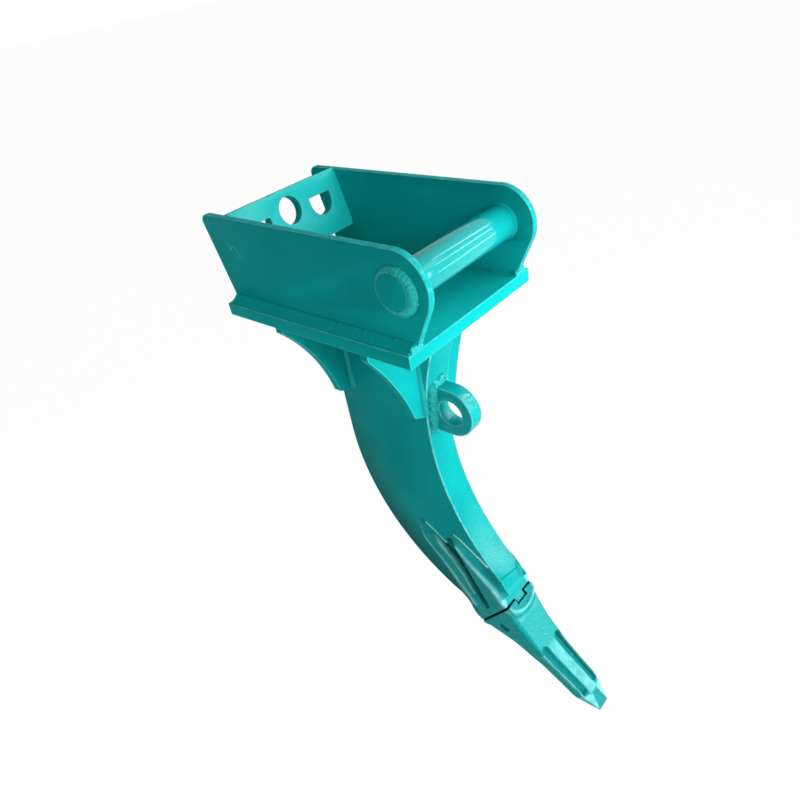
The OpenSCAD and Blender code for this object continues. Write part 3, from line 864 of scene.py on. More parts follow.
@dataclass
class WeldRun:
    """One weld bead: its path, the ways along the two faces it lies against, and its size."""

    name: str
    nodes: tuple[str, ...]
    roots: list[Vector]
    side_a: Vector | list[Vector]
    side_b: Vector | list[Vector]
    leg: float = 9 * MM
    closed: bool = False
    pitch: float = 4.2 * MM
    ripple: float = 0.6 * MM
    lump: float = 0.3
    lump_scale: float = 90.0
    fullness: float = 0.55
    taper: float = 0.03
    span: float = math.pi / 2
    crest: float = 0.0
    rough: list[float] = field(default_factory=list)
    seed: int = 1
    finish: PaintFinish = BEAD

    def host(self) -> Object:
        """The path as an object of edges, each point with the ways along the two faces."""
        count = len(self.roots)
        edges = [(i, i + 1) for i in range(count - 1)] + ([(count - 1, 0)] if self.closed else [])
        mesh = bpy.data.meshes.new(self.name)
        mesh.from_pydata([tuple(p) for p in self.roots], edges, [])
        for name, ways in (("side_a", self.side_a), ("side_b", self.side_b)):
            ways = ways if isinstance(ways, list) else [ways] * count
            layer = mesh.attributes.new(name, "FLOAT_VECTOR", "POINT")
            layer.data.foreach_set("vector", [c for way in ways for c in way])
        layer = mesh.attributes.new("rough", "FLOAT", "POINT")
        layer.data.foreach_set("value", self.rough or [1.0] * count)
        return new_piece(self.name, mesh)

    def build(self) -> Object:
        """Lays the bead.

        Returns:
            The finished piece.
        """
        piece = self.host()
        BeadForm.apply(piece, {
            "Leg": self.leg, "Step": 0.9 * MM, "Pitch": self.pitch, "Ripple": self.ripple, "Chevron": 1.5 * self.leg,
            "Span": self.span, "Crest": self.crest, "Lump": self.lump, "Lump Scale": self.lump_scale,
            "Fullness": self.fullness, "Taper": self.taper, "Floor": 1.0 if self.closed else 0.3, "Sink": 0.25 * MM,
            "Seed": float(self.seed), "Material": self.finish.material(),
        })
        turn_out(piece.data)
        layers = piece.data.attributes
        for spare in filter(None, map(layers.get, ("side_a", "side_b", "rough"))):
            layers.remove(spare)
        return place_piece(piece, Slot.WELD, *self.nodes)


class SpatterForm(NodeForm):
    """Scatters weld drops over a patch."""

    NAME = "weld_spatter"
    INPUTS = (
        sockets("Geometry", "Patch") | sockets("Float", "Density", "Smallest", "Largest") | sockets("Int", "Seed")
        | sockets("Material", "Material")
    )

    @classmethod
    def fill(cls, sheet: Sheet, given: dict[str, Term]) -> NodeSocket:
        """Puts a small ball of random size on each scattered point.

        Args:
            sheet: the tree.
            given: its inputs.

        Returns:
            The drops.
        """
        strew = sheet.add(
            "GeometryNodeDistributePointsOnFaces",
            {"Mesh": given["Patch"], "Density": given["Density"], "Seed": given["Seed"]}, distribute_method="RANDOM",
        )
        ball = sheet.add("GeometryNodeMeshIcoSphere", {"Radius": 1.0, "Subdivisions": 2}).outputs["Mesh"]
        drop = sheet.add("GeometryNodeSetShadeSmooth", {"Geometry": ball}).outputs[0]
        sizes = {2: given["Smallest"], 3: given["Largest"], "Seed": given["Seed"]}
        size = sheet.add("FunctionNodeRandomValue", sizes, data_type="FLOAT").outputs[1]
        points = {"Points": strew.outputs["Points"], "Instance": drop, "Scale": size}
        return sheet.add("GeometryNodeInstanceOnPoints", points).outputs["Instances"]


def straight(start: Vector, end: Vector, count: int = 40) -> list[Vector]:
    """Points from one place to another."""
    return [start.lerp(end, i / (count - 1)) for i in range(count)]


@dataclass
class Headstock:
    """The hitch headstock: side plates, bar, lock plate, base plate and their welds."""

    plate_in: float = 108 * MM
    plate_out: float = 118 * MM
    plate_ease: float = 1.1 * MM
    bar_r: float = 25 * MM
    bar_half: float = 126 * MM
    bar_ease: float = 1.6 * MM
    bar_steps: int = 128
    ring_steps: int = 96
    base_top: float = -78 * MM
    back: float = -348 * MM
    front: float = 19 * MM
    lock_top: Vector = field(default_factory=lambda: Vector((-322.71 * MM, 0, 56.18 * MM)))
    lock_h: float = 91 * MM
    lean: float = math.radians(14)
    lock_fit: float = 1.045
    foot_w: float = 17 * MM
    foot_h: float = 10 * MM
    heavy_turn: float = math.radians(-35)
    run_strokes: tuple = (
        ((-314.0, 13.0), (-305.8, -8.9)), ((-332.3, 17.1), (-322.5, 5.9)), ((-328.0, 5.0), (-316.0, 14.0)),
        ((-300.0, 3.0), (-296.0, -4.0)),
    )

    def build(self) -> None:
        """Builds the plates, the bar, the welds and the paint's runs."""
        for side in Side:
            shaped_plate(f"side_plate_{side.word}", PLATE_Y, self.plate_ease)
        shaped_plate("base_plate", BASE, 1.2 * MM)
        to_top = Matrix.Translation(self.lock_top)
        stretch = to_top @ Matrix.Scale(self.lock_fit, 4, self.lock_down()) @ Matrix.Translation(-self.lock_top)
        shaped_plate("lock_plate", LOCK, 1.5 * MM, stretch)
        self.bar()
        for side in Side:
            self.bar_welds(side)
            self.foot_welds(side)
            self.lock_weld(side)
        self.paint_runs()

    def lock_down(self) -> Vector:
        """The way down along the lock plate's lean."""
        return Vector((math.sin(self.lean), 0, -math.cos(self.lean)))

    def bar(self) -> None:
        """Turns the hitch bar with eased ends."""
        half, radius, ease, count = self.bar_half, self.bar_r, self.bar_ease, self.bar_steps
        near = [(radius - ease, -half), (radius - 0.3 * ease, -half + 0.3 * ease), (radius, -half + ease)]
        outline = near + [(radius, 0.0)] + [(r, -y) for r, y in reversed(near)]
        turns = [math.tau * i / count for i in range(count)]
        points = [(r * math.cos(t), y, r * math.sin(t)) for r, y in outline for t in turns]
        steps = [(i, (i + 1) % count) for i in range(count)]
        rings = range(0, len(points), count)
        faces = [(j + a, j + b, k + b, k + a) for j, k in zip(rings, rings[1:]) for a, b in steps]
        for middle, ring in ((len(points), rings[0]), (len(points) + 1, rings[-1])):
            faces += [(middle, ring + a, ring + b) for a, b in steps]
        mesh = bpy.data.meshes.new("hitch_bar_turned")
        mesh.from_pydata(points + [(0.0, -half, 0.0), (0.0, half, 0.0)], [], faces)
        turn_out(mesh)
        mesh.set_sharp_from_angle(angle=math.radians(50))
        mesh.materials.append(BAR.material())
        mesh.materials.append(PLATE_Y.material())
        for face in mesh.polygons:
            face.material_index = int(abs(face.normal.y) > 0.9)
        place_piece(new_piece("hitch_bar_turned", mesh), Slot.PAINT, "hitch_bar")

    def bar_welds(self, side: Side) -> None:
        """Lays the rings round the bar: a heavy one outside a plate, a light one inside it.

        Args:
            side: which side.
        """
        out = side.out
        turns = [math.tau * i / self.ring_steps for i in range(self.ring_steps)]
        radial = [Vector((math.cos(t), 0, math.sin(t))) for t in turns]
        reach = [r * (1.2 + 0.35 * math.cos(t - self.heavy_turn)) for r, t in zip(radial, turns)]
        WeldRun(
            f"bar_bead_{side.word}", (f"bar_weld_{side.word}",),
            [out * self.plate_out + r * self.bar_r for r in radial], reach, out, leg=7.2 * MM, closed=True, lump=0.35,
            lump_scale=70.0, pitch=5 * MM, fullness=0.7, seed=3 + side.value, finish=RING,
        ).build()
        WeldRun(
            f"bar_inner_bead_{side.word}", (), [out * self.plate_in + r * self.bar_r for r in radial], radial, -out,
            leg=2 * MM, closed=True, ripple=0.1 * MM, seed=7 + side.value, finish=COVE,
        ).build()

    def foot_welds(self, side: Side) -> None:
        """Lays the beads along a side plate's foot, outside, inside and round its front end.

        Args:
            side: which side.
        """
        out = side.out
        floor = UP * self.base_top
        path = straight(AHEAD * self.back, AHEAD * self.front, 60)
        rough = [min(1.0, 0.15 + 1.3 * i / (len(path) - 1)) for i in range(len(path))]
        WeldRun(
            f"side_bead_{side.word}", (f"side_weld_{side.word}",), [p + floor + out * self.plate_out for p in path],
            out * (self.foot_w / self.foot_h), UP, leg=self.foot_h, fullness=-0.3, crest=0.95, rough=rough,
            ripple=0.5 * MM, lump=0.32, lump_scale=150.0, taper=0.012, seed=11 + side.value, finish=COVE,
        ).build()
        path = straight(AHEAD * -self.bar_r, AHEAD * self.front, 24)
        WeldRun(
            f"inner_bead_{side.word}", (f"inner_weld_{side.word}",), [p + floor + out * self.plate_in for p in path],
            -out, UP, leg=3 * MM, lump=0.4, lump_scale=120.0, ripple=0.1 * MM, fullness=-0.2, seed=17 + side.value,
            finish=COVE,
        ).build()
        path = straight(out * (self.plate_in - 2 * MM), out * (self.plate_out + 12 * MM), 24)
        WeldRun(
            f"foot_end_bead_{side.word}", (), [p + floor + AHEAD * (self.front - 1 * MM) for p in path], AHEAD * 0.5,
            UP * 1.1, leg=7 * MM, lump=0.9, lump_scale=130.0, fullness=0.9, taper=0.2, ripple=0.5 * MM,
            seed=27 + side.value,
        ).build()

    def lock_weld(self, side: Side) -> None:
        """Lays the upright bead where the lock plate meets a side plate.

        Args:
            side: which side.
        """
        ahead, down = Vector((math.cos(self.lean), 0, math.sin(self.lean))), self.lock_down()
        top = self.lock_top + side.out * self.plate_in
        path = straight(top + down * 1.5 * MM, top + down * (self.lock_h - 1.5 * MM))
        WeldRun(
            f"lock_bead_{side.word}", (f"lock_weld_{side.word}",), path, ahead, -side.out, leg=2.2 * MM,
            pitch=3.4 * MM, ripple=0.15 * MM, seed=23 + side.value, finish=COVE,
        ).build()

    def paint_runs(self) -> None:
        """Adds the short paint runs at the right plate's rear."""
        for number, stroke in enumerate(self.run_strokes):
            start, end = (Vector((x * MM, -self.plate_out, z * MM)) for x, z in stroke)
            path = straight(start, end, 12)
            across = (path[-1] - path[0]).normalized().cross(Vector((0, -1, 0)))
            WeldRun(
                f"paint_run_{number}", (), path, across, Vector((0, -0.35, 0)), leg=1.1 * MM, span=math.pi, lump=0.9,
                lump_scale=200.0, ripple=0.0, taper=0.3, fullness=0.9, seed=90 + number,
            ).build()


@dataclass
class ShankFrame:
    """The curved shank with its gussets and lifting eye."""

    half: float = 27.5 * MM
    shank_ease: float = 1.9 * MM
    base_bottom: float = -98 * MM
    front_gusset_x: float = -72 * MM
    front_drop: float = 164 * MM
    rear_gusset_x: float = -230 * MM
    rear_drop: float = 158 * MM
    gusset_t: float = 15 * MM
    gusset_ease: float = 1.1 * MM
    arc_centre: tuple = (348 * MM, -306.8 * MM)
    arc_r: float = 420 * MM
    eye_z: float = -264 * MM
    eye_cad_half: float = 10 * MM
    eye_half: float = 12.8 * MM
    eye_r: float = 42 * MM
    eye_ease: float = 2.2 * MM
    eye_steps: int = 24
    patch_steps: int = 12
    patch_reach: float = 1.35
    drop_density: float = 26000.0
    drop_smallest: float = 0.3 * MM
    drop_largest: float = 1.0 * MM

    def build(self) -> None:
        """Builds the shank, the gussets, the eye and their welds."""
        shaped_plate("shank", SHANK, self.shank_ease)
        for side in Side:
            shaped_plate(f"front_gusset_{side.word}", PLATE_X, self.gusset_ease)
            shaped_plate(f"rear_gusset_{side.word}", PLATE_X, self.gusset_ease)
        wider = Matrix.Diagonal((1.0, self.eye_half / self.eye_cad_half, 1.0, 1.0))
        shaped_plate("lifting_eye", EYE, self.eye_ease, wider)
        for side in Side:
            self.welds(side)
        self.eye_weld()
        self.spatter()

    def welds(self, side: Side) -> None:
        """Lays the shank's beads on one side.

        Args:
            side: which side.
        """
        out, y = side.out, side.value * self.half
        head_end = self.front_gusset_x - self.gusset_t
        head = straight(Vector((self.rear_gusset_x, y, self.base_bottom)), Vector((head_end, y, self.base_bottom)))
        WeldRun(
            f"shank_bead_{side.word}", (f"shank_weld_{side.word}",), head, out, DOWN, seed=31 + side.value
        ).build()
        for word, x, drop, tail in (
            ("front", self.front_gusset_x, self.front_drop, 4 * MM),
            ("rear", self.rear_gusset_x, self.rear_drop, 7 * MM),
        ):
            top, foot = self.base_bottom - 9 * MM, self.base_bottom - drop - tail
            path = straight(Vector((x, y, top)), Vector((x, y, foot)))
            flare = [1 + 0.4 * (i / (len(path) - 1)) ** 5 for i in range(len(path))]
            WeldRun(
                f"{word}_gusset_bead_{side.word}", (f"{word}_gusset_weld_{side.word}",), path,
                [AHEAD * f for f in flare], [out * f for f in flare], leg=5.2 * MM, pitch=3.6 * MM, ripple=0.45 * MM,
                seed=41 + side.value,
            ).build()

    def rim_at(self, turn: float) -> tuple[Vector, Vector, Vector]:
        """The shank's hollow edge at an angle about the hollow's centre.

        Args:
            turn: the angle, positive upwards.

        Returns:
            The place in the middle plane, the way out of the edge and the way up along it.
        """
        inward = Vector((math.cos(turn), 0, -math.sin(turn)))
        up = Vector((math.sin(turn), 0, math.cos(turn)))
        return Vector((self.arc_centre[0], 0, self.arc_centre[1])) - inward * self.arc_r, inward, up

    def eye_span(self) -> tuple[float, float]:
        """The eye's middle on the hollow edge and half its reach, as angles."""
        return math.asin((self.eye_z - self.arc_centre[1]) / self.arc_r), math.asin(self.eye_r / self.arc_r)

    def eye_weld(self) -> None:
        """Lays the heavy bead all round the eye's foot, on the shank's hollow edge, and a blob above it."""
        middle, reach = self.eye_span()
        roots, side_a, side_b = [], [], []
        legs = ((-reach, reach, -1, 0), (reach, reach, 0, 1), (reach, -reach, 1, 0), (-reach, -reach, 0, -1))
        for start, end, side, cross in legs:
            for i in range(self.eye_steps):
                share = i / self.eye_steps
                foot, inward, up = self.rim_at(middle + start + (end - start) * share)
                roots.append(foot + Vector((0, self.eye_half * (side or (2 * share - 1) * cross), 0)))
                side_a.append(Vector((0, side, 0)) if side else up * cross)
                side_b.append(inward)
        WeldRun(
            "eye_bead", ("eye_weld",), roots, side_a, side_b, leg=9.5 * MM, closed=True, lump=1.0, lump_scale=150.0,
            ripple=1.3 * MM, pitch=6 * MM, fullness=0.6, seed=57, finish=RING,
        ).build()
        foot, inward, up = self.rim_at(middle + reach)
        path = [foot + up * 6 * MM + Vector((0, (1 + 0.8 * i) * MM, 0)) for i in range(17)]
        WeldRun(
            "eye_top_bead", (), path, up, inward, leg=6 * MM, span=math.pi, lump=1.0, lump_scale=170.0, taper=0.25,
            fullness=0.9, seed=63, finish=RING,
        ).build()

    def spatter(self) -> None:
        """Scatters weld spatter on the shank's hollow edge beside the eye."""
        middle, reach = self.eye_span()
        reach, count = self.patch_reach * reach, self.patch_steps
        rows = [self.rim_at(middle - reach + 2 * reach * i / count)[0] for i in range(count + 1)]
        near, far = self.eye_half + 6 * MM, self.half - 3 * MM
        points, faces = [], []
        for low, high in ((-far, -near), (near, far)):
            faces += [tuple(len(points) + 2 * i + k for k in (0, 1, 3, 2)) for i in range(count)]
            points += [row + Vector((0, y, 0)) for row in rows for y in (low, high)]
        mesh = bpy.data.meshes.new("eye_spatter")
        mesh.from_pydata([tuple(p) for p in points], [], faces)
        piece = new_piece("eye_spatter", mesh)
        SpatterForm.apply(piece, {
            "Density": self.drop_density, "Smallest": self.drop_smallest, "Largest": self.drop_largest, "Seed": 5,
            "Material": BEAD.material(),
        })
        place_piece(piece, Slot.WELD)


@dataclass
class Tooth:
    """The cast adapter, the cast point and the pin; lines on its sides are in u and v, in millimetres."""

    joint: tuple = (24.5 * MM, -681 * MM)
    slope: float = math.radians(38)
    throat: float = 16 * MM
    half_shank: float = 27.5 * MM
    heel: float = 55.2 * MM
    bevel_run: tuple = (-32.0, 23.4)
    toe_run: tuple = (14.5, -7.2)
    tip_start: float = 216.0
    rear_slot: tuple = ((-156, 37), (-109, 30), (-45, 8), (-26, 0))
    rear_top: tuple = ((-209, 33), (-185, 36), (-150, 37))
    front_slot: tuple = ((-150, 62), (-100, 44), (-60, 24), (-29, 10), (-20, 4))
    slot_line: tuple = ((-158, 52), (-100, 36), (-60, 19), (-28, 5))
    rear_back: tuple = ((-205, 4), (-117, -18), (-59, -46), (-30, -48))
    front_edge: tuple = ((-160, 72), (-146, 77), (-100, 80.5), (-76, 81.6))
    rear_crest: tuple = ((-203, 17), (-170, 10), (-138, 6), (-112, 0), (-80, -9), (-52, -16), (-36, -23))
    rear_top_crest: tuple = ((-205, 36), (-184, 36), (-151, 32), (-118, 28), (-86, 18), (-52, 3))
    front_crest: tuple = ((-140, 66), (-110, 61), (-74, 59), (-41, 58), (-6, 49))

    def build(self) -> None:
        """Builds the castings, the pin and the beads that hold the adapter."""
        self.rub(cast_piece("adapter_cast", "tooth_adapter", 1.2 * MM, 0.4 * MM, self.adapter_form), self.crests)
        self.rub(cast_piece("point_cast", "tooth_point", 1.0 * MM, 0.3 * MM, self.point_form), self.facets)
        self.joint_grime()
        for node in ("tooth_pin", "pin_retainer"):
            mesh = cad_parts[node].data
            mesh.materials.clear()
            mesh.materials.append(STEEL.material())
        self.throat_weld()
        for side in Side:
            self.leg_welds(side)

    def at(self, u: float, y: float, v: float) -> Vector:
        """The place of a point in the tooth's frame."""
        along = Vector((math.cos(self.slope), 0, -math.sin(self.slope)))
        across = Vector((math.sin(self.slope), 0, math.cos(self.slope)))
        return Vector((self.joint[0], y, self.joint[1])) + along * u + across * v

    def way(self, u: float, v: float) -> Vector:
        """A direction in the tooth's frame, of length 1."""
        return (self.at(u, 0, v) - self.at(0, 0, 0)).normalized()

    def axes(self) -> tuple[np.ndarray, np.ndarray, np.ndarray]:
        """The joint and the frame's two upright axes, as arrays."""
        return tuple(np.array(row) for row in (self.at(0, 0, 0), self.way(1, 0), self.way(0, 1)))

    def split(self, places: np.ndarray) -> tuple[np.ndarray, np.ndarray, np.ndarray]:
        """Turns places into u, y and v of the tooth's frame, in millimetres."""
        joint, along, across = self.axes()
        return (places - joint) @ along / MM, places[:, 1] / MM, (places - joint) @ across / MM

    def join(self, u: np.ndarray, y: np.ndarray, v: np.ndarray) -> np.ndarray:
        """Turns u, y and v in millimetres back into places."""
        joint, along, across = self.axes()
        places = joint + (np.outer(u, along) + np.outer(v, across)) * MM
        places[:, 1] = y * MM
        return places

    def point_form(self, places: np.ndarray) -> np.ndarray:
        """Works the point: round long corners, a crescent rim at the joint and deeper flutes.

        Args:
            places: the skin's points.

        Returns:
            Their new places.
        """
        u, y, v = self.split(places)
        side, front = np.abs(y), np.abs(v)
        crown = 13 + 35 * np.clip(1 - np.maximum(0, u - 5) / 130, 0, 1) ** 1.5
        flank = self.flank(u)
        ring = np.hypot(u / 24, side / 37)
        front = front - np.clip(front - crown, 0, 3) * step(ring, 1.05, 1.4)
        rim = 3.6 * hill(ring, 1.0, 0.14) - 1.8 * hill(ring, 0.66, 0.14) - 1.2 * hill(ring, 1.32, 0.12)
        front = front + rim * step(front, crown - 6, crown - 1)
        round_r = 3 + 7 * (1 - step(u, 60, 115))
        a, b = side - (flank - round_r), front - (crown - round_r)
        corner = (a > 0) & (b > 0)
        pull = np.where(corner, np.maximum(a, b) / np.maximum(np.hypot(a, b), 1e-6), 1.0)
        pull = 1 - (1 - pull) * (1 - step(u, 185, 200))
        side = np.where(corner, flank - round_r + a * pull, side)
        front = np.where(corner, crown - round_r + b * pull, front)
        front = front - self.flute(u, side) * step(front, 2, 8)
        u = u + 1.3 * (1 - step(u, 0.5, 7)) * step(side, 29, 35)
        return self.join(u, np.copysign(side, y), np.copysign(front, v))

    @staticmethod
    def flank(u: np.ndarray) -> np.ndarray:
        """Half the point's width."""
        return 26 + 12 * np.clip(1 - np.maximum(0, u - 20) / 186, 0, 1) ** 1.3

    def flute(self, u: np.ndarray, side: np.ndarray) -> np.ndarray:
        """Depth that the flutes are sunk below the CAD's, steep at the lip and shallow at the spine."""
        lip = self.flank(u) - 1.6
        across = np.clip((side - 10.5) / (lip - 14.5), 0, 1) * (1 - step(side, lip - 3.2, lip))
        return 5.0 * across * band(u, (97, 108), (205, 214))

    def crest_lines(self, u: np.ndarray, v: np.ndarray) -> list[tuple[np.ndarray, np.ndarray, np.ndarray]]:
        """Measures points against the adapter's three crests: rear, rear top and front."""
        return [line_distance(u, v, line) for line in (self.rear_crest, self.rear_top_crest, self.front_crest)]

    def adapter_form(self, places: np.ndarray) -> np.ndarray:
        """Works the adapter's legs: crests along them, a hollow between and a fall to the rear.

        Args:
            places: the skin's points.

        Returns:
            Their new places.
        """
        u, y, v = self.split(places)
        side = np.abs(y)
        skin = step(side, 28.6, 33) * step(-u, 2, 14)
        (low, low_share, low_v), (top, _, _), (front, share, front_v) = self.crest_lines(u, v)
        raise_by = 3.2 * hill(low, 0, 3.6) * step(low_share, 0.0, 0.12) + 2.4 * hill(top, 0, 2.8)
        raise_by += (1.8 + 2.2 * share) * hill(front, 0, 3.0 + 3.5 * share)
        fall = np.clip(low_v - v - 3, 0, 28) * 0.22 * step(-u, 20, 45) * (v < low_v)
        fall += np.clip(v - front_v - 6, 0, 20) * 0.1 * (v > front_v)
        side = side + (raise_by - fall) * skin
        return self.join(u, np.copysign(np.where(side < 28, np.abs(y), side), y), v)

    def rub(self, piece: Object, shares: Callable) -> None:
        """Marks where a casting gets painted highlights and where it gets painted shade.

        Args:
            piece: the casting.
            shares: gives both shares for u, y and v in the tooth's frame.
        """
        both = shares(*self.split(read_points(piece.data, "co")))
        # rim carries the painted highlights, hollow the painted shade.
        for name, values in zip(("rim", "hollow"), both):
            layer = piece.data.attributes.new(name, "FLOAT", "POINT")
            layer.data.foreach_set("value", values.astype(np.float32))

    def crests(self, u: np.ndarray, y: np.ndarray, v: np.ndarray) -> tuple[np.ndarray, np.ndarray]:
        """The adapter's shares: painted highlight along the legs' crests, painted shade on the front leg's ramp, along
        the slot and low at the rear.

        Args:
            u: places along the tooth.
            y: places across it.
            v: places towards its front.

        Returns:
            Painted highlight and painted shade shares from 0 to 1.
        """
        (low, low_share, low_v), (top, _, _), (front, share, front_v) = self.crest_lines(u, v)
        slot, _, _ = line_distance(u, v, self.slot_line)
        lines = np.maximum(hill(low, 0, 1.6 + 2.6 * low_share), hill(top, 0, 1.8))
        lines = np.maximum(lines, hill(front, 1.5, 2.0 + 3.6 * share))
        ramp = 0.5 * step(v - front_v, 6, 10) * band(u, (-90, -70), (-32, -24))
        rear = 0.6 * step(low_v - v, 4, 14) * step(-u, 8, 30)
        dark = np.maximum(np.maximum(ramp, rear), 0.8 * (1 - step(slot, 5, 11)))
        return lines * step(np.abs(y), 30, 33) * step(slot, 5, 9), dark

    def facets(self, u: np.ndarray, y: np.ndarray, v: np.ndarray) -> tuple[np.ndarray, np.ndarray]:
        """The point's shares: painted highlight on the tip's side facets, the spine and the rims, painted shade in the
        flutes, the crescent's grooves and the blunt tip.

        Args:
            u: places along the tooth.
            y: places across it.
            v: places towards its front.

        Returns:
            Painted highlight and painted shade shares from 0 to 1.
        """
        side, flank, past = np.abs(y), self.flank(u), u - self.tip_start
        middle = 7 + past * 6 / 32
        facet = step(side - middle, 0.0, 1.2) * step(past + (side - 7) * 10 / 19, 0.0, 1.5)
        spine = (1 - step(side, 9, 11.5)) * band(u, (100, 112), (212, 216))
        ring = np.hypot(u / 24, side / 37)
        face = step(v, 30, 38)
        crest = 0.8 * hill(ring, 1.0, 0.1) * face
        lip = 0.9 * hill(side, flank - 1.4, 1.6) * band(u, (104, 112), (203, 210)) * step(v, 4, 8)
        brow = step(v - 46 + 0.17 * u, -5, -1) * step(ring, 1.3, 1.6) * (1 - step(u, 96, 118))
        brow *= 0.65 * (1 - step(side - flank, -9, -3))
        pale = np.maximum(np.maximum(facet, 0.6 * spine) * (v > 0), np.maximum(np.maximum(crest, lip), brow))
        dark = 0.5 * np.clip(self.flute(u, side) / 4.0, 0, 1)
        dark = np.maximum(dark, 0.35 * (hill(ring, 0.66, 0.1) + hill(ring, 1.32, 0.1)) * face)
        blunt = 0.35 * step(past, 0, 2) * (1 - step(side - middle, -1.0, 0.2)) * (v > 0)
        return pale, np.maximum(dark, blunt)

    def joint_grime(self) -> None:
        """Fills the joint's gap and the slots' ends with dark blocks just below the surface: painted shade."""
        blocks = [((-1.2, 2.6), (-36.4, 36.4), (-46.6, 46.6))]
        blocks += [((-1, 10.6), (-13.7, 13.7), span) for span in ((32, 44.2), (-44.2, -32))]
        blocks += [((-27, -17), (sign * 27, sign * 28.6), (-9, 6)) for sign in (1, -1)]
        blocks += [((-0.5, 10.6), (sign * 12.8, sign * 14.3), (40, 50.5)) for sign in (1, -1)]
        work = bmesh.new()
        for us, ys, vs in blocks:
            corners = {
                (i, j, k): work.verts.new(self.at(us[i] * MM, sorted(ys)[j] * MM, vs[k] * MM))
                for i in (0, 1) for j in (0, 1) for k in (0, 1)
            }
            for axis in range(3):
                for end in (0, 1):
                    ring = [(0, 0), (1, 0), (1, 1), (0, 1)]
                    work.faces.new([corners[(*p[:axis], end, *p[axis:])] for p in ring])
        bmesh.ops.recalc_face_normals(work, faces=work.faces)
        mesh = to_mesh(work, bpy.data.meshes.new("joint_grime"))
        mesh.materials.append(GRIME.material())
        place_piece(new_piece("joint_grime", mesh), Slot.PAINT)

    def throat_weld(self) -> None:
        """Lays the beads at the shank's bevelled end: across its foot and its top, and up its two sides."""
        half = self.half_shank - 1 * MM
        up, toe, above = self.way(*self.bevel_run), self.way(*self.toe_run), self.way(0.59, 0.81)
        path = straight(self.at(-self.throat, -half, self.heel), self.at(-self.throat, half, self.heel), 30)
        WeldRun(
            "throat_bead", ("throat_weld",), path, up, toe, leg=7 * MM, lump=0.5, taper=0.05, fullness=0.0, seed=71
        ).build()
        # A low bead across the bevel's top, in painted shade.
        path = straight(self.at(-46.5 * MM, -half, 77.2 * MM), self.at(-37 * MM, half, 70.2 * MM), 30)
        WeldRun(
            "bevel_line", (), path, up, above * 0.3, leg=2.8 * MM, span=math.pi, lump=0.7, lump_scale=120.0, ripple=0.0,
            taper=0.05, seed=79, finish=SHADOW,
        ).build()
        for side in Side:
            y = side.value * self.half_shank
            path = straight(self.at(-47 * MM, y, 77.6 * MM), self.at(-17 * MM, y, 55.6 * MM), 24)
            WeldRun(
                f"bevel_fillet_{side.word}", (), path, -side.out, above, leg=7 * MM, lump=0.4, ripple=0.2 * MM,
                fullness=0.2, taper=0.35, seed=80 + side.value, finish=RING,
            ).build()

    def side_path(self, corners: tuple, side: Side) -> list[Vector]:
        """Evenly divides a line with corners on one side of the shank.

        Args:
            corners: the line's corners.
            side: which side.

        Returns:
            The path's points.
        """
        points = []
        for (u0, v0), (u1, v1) in zip(corners, corners[1:]):
            points += [(u0 + (u1 - u0) * (i / 8), v0 + (v1 - v0) * (i / 8)) for i in range(8)]
        return [self.at(u * MM, side.value * self.half_shank, v * MM) for u, v in (*points, corners[-1])]

    def leg_welds(self, side: Side) -> None:
        """Lays the beads along the adapter's legs and the ridges on their crests, on one side.

        Args:
            side: which side.
        """
        # rear_back and the slot beads are painted shade; rear_top and front_edge are painted highlight.
        runs = (
            ("rear_slot", self.rear_slot, self.way(0.35, 1), 4.0, 0.9, SLOT),
            ("front_slot", self.front_slot, self.way(-0.35, -1), 4.0, 0.9, SLOT),
            ("rear_back", self.rear_back, self.way(-0.4, -1), 3.0, 0.3, SHADOW),
            ("rear_top", self.rear_top, self.way(0.1, 1), 2.4, 0.5, CREST),
            ("front_edge", self.front_edge, self.way(-0.1, 1), 2.4, 0.5, CREST),
        )
        for number, (word, corners, away, leg, lump, finish) in enumerate(runs if side is Side.RIGHT else runs[:4]):
            WeldRun(
                f"{word}_bead_{side.word}", (), self.side_path(corners, side), away, side.out, leg=leg * MM, lump=lump,
                lump_scale=150.0, ripple=0.1 * leg * MM, taper=0.2, seed=73 + 4 * number + side.value, finish=finish,
            ).build()
        WeldRun(
            f"slot_bead_{side.word}", (), self.side_path(self.slot_line, side), self.way(0.4, 1), side.out * 0.3,
            leg=6 * MM, span=math.pi, lump=1.0, lump_scale=170.0, ripple=0.5 * MM, taper=0.1, seed=95 + side.value,
            finish=SLOT,
        ).build()


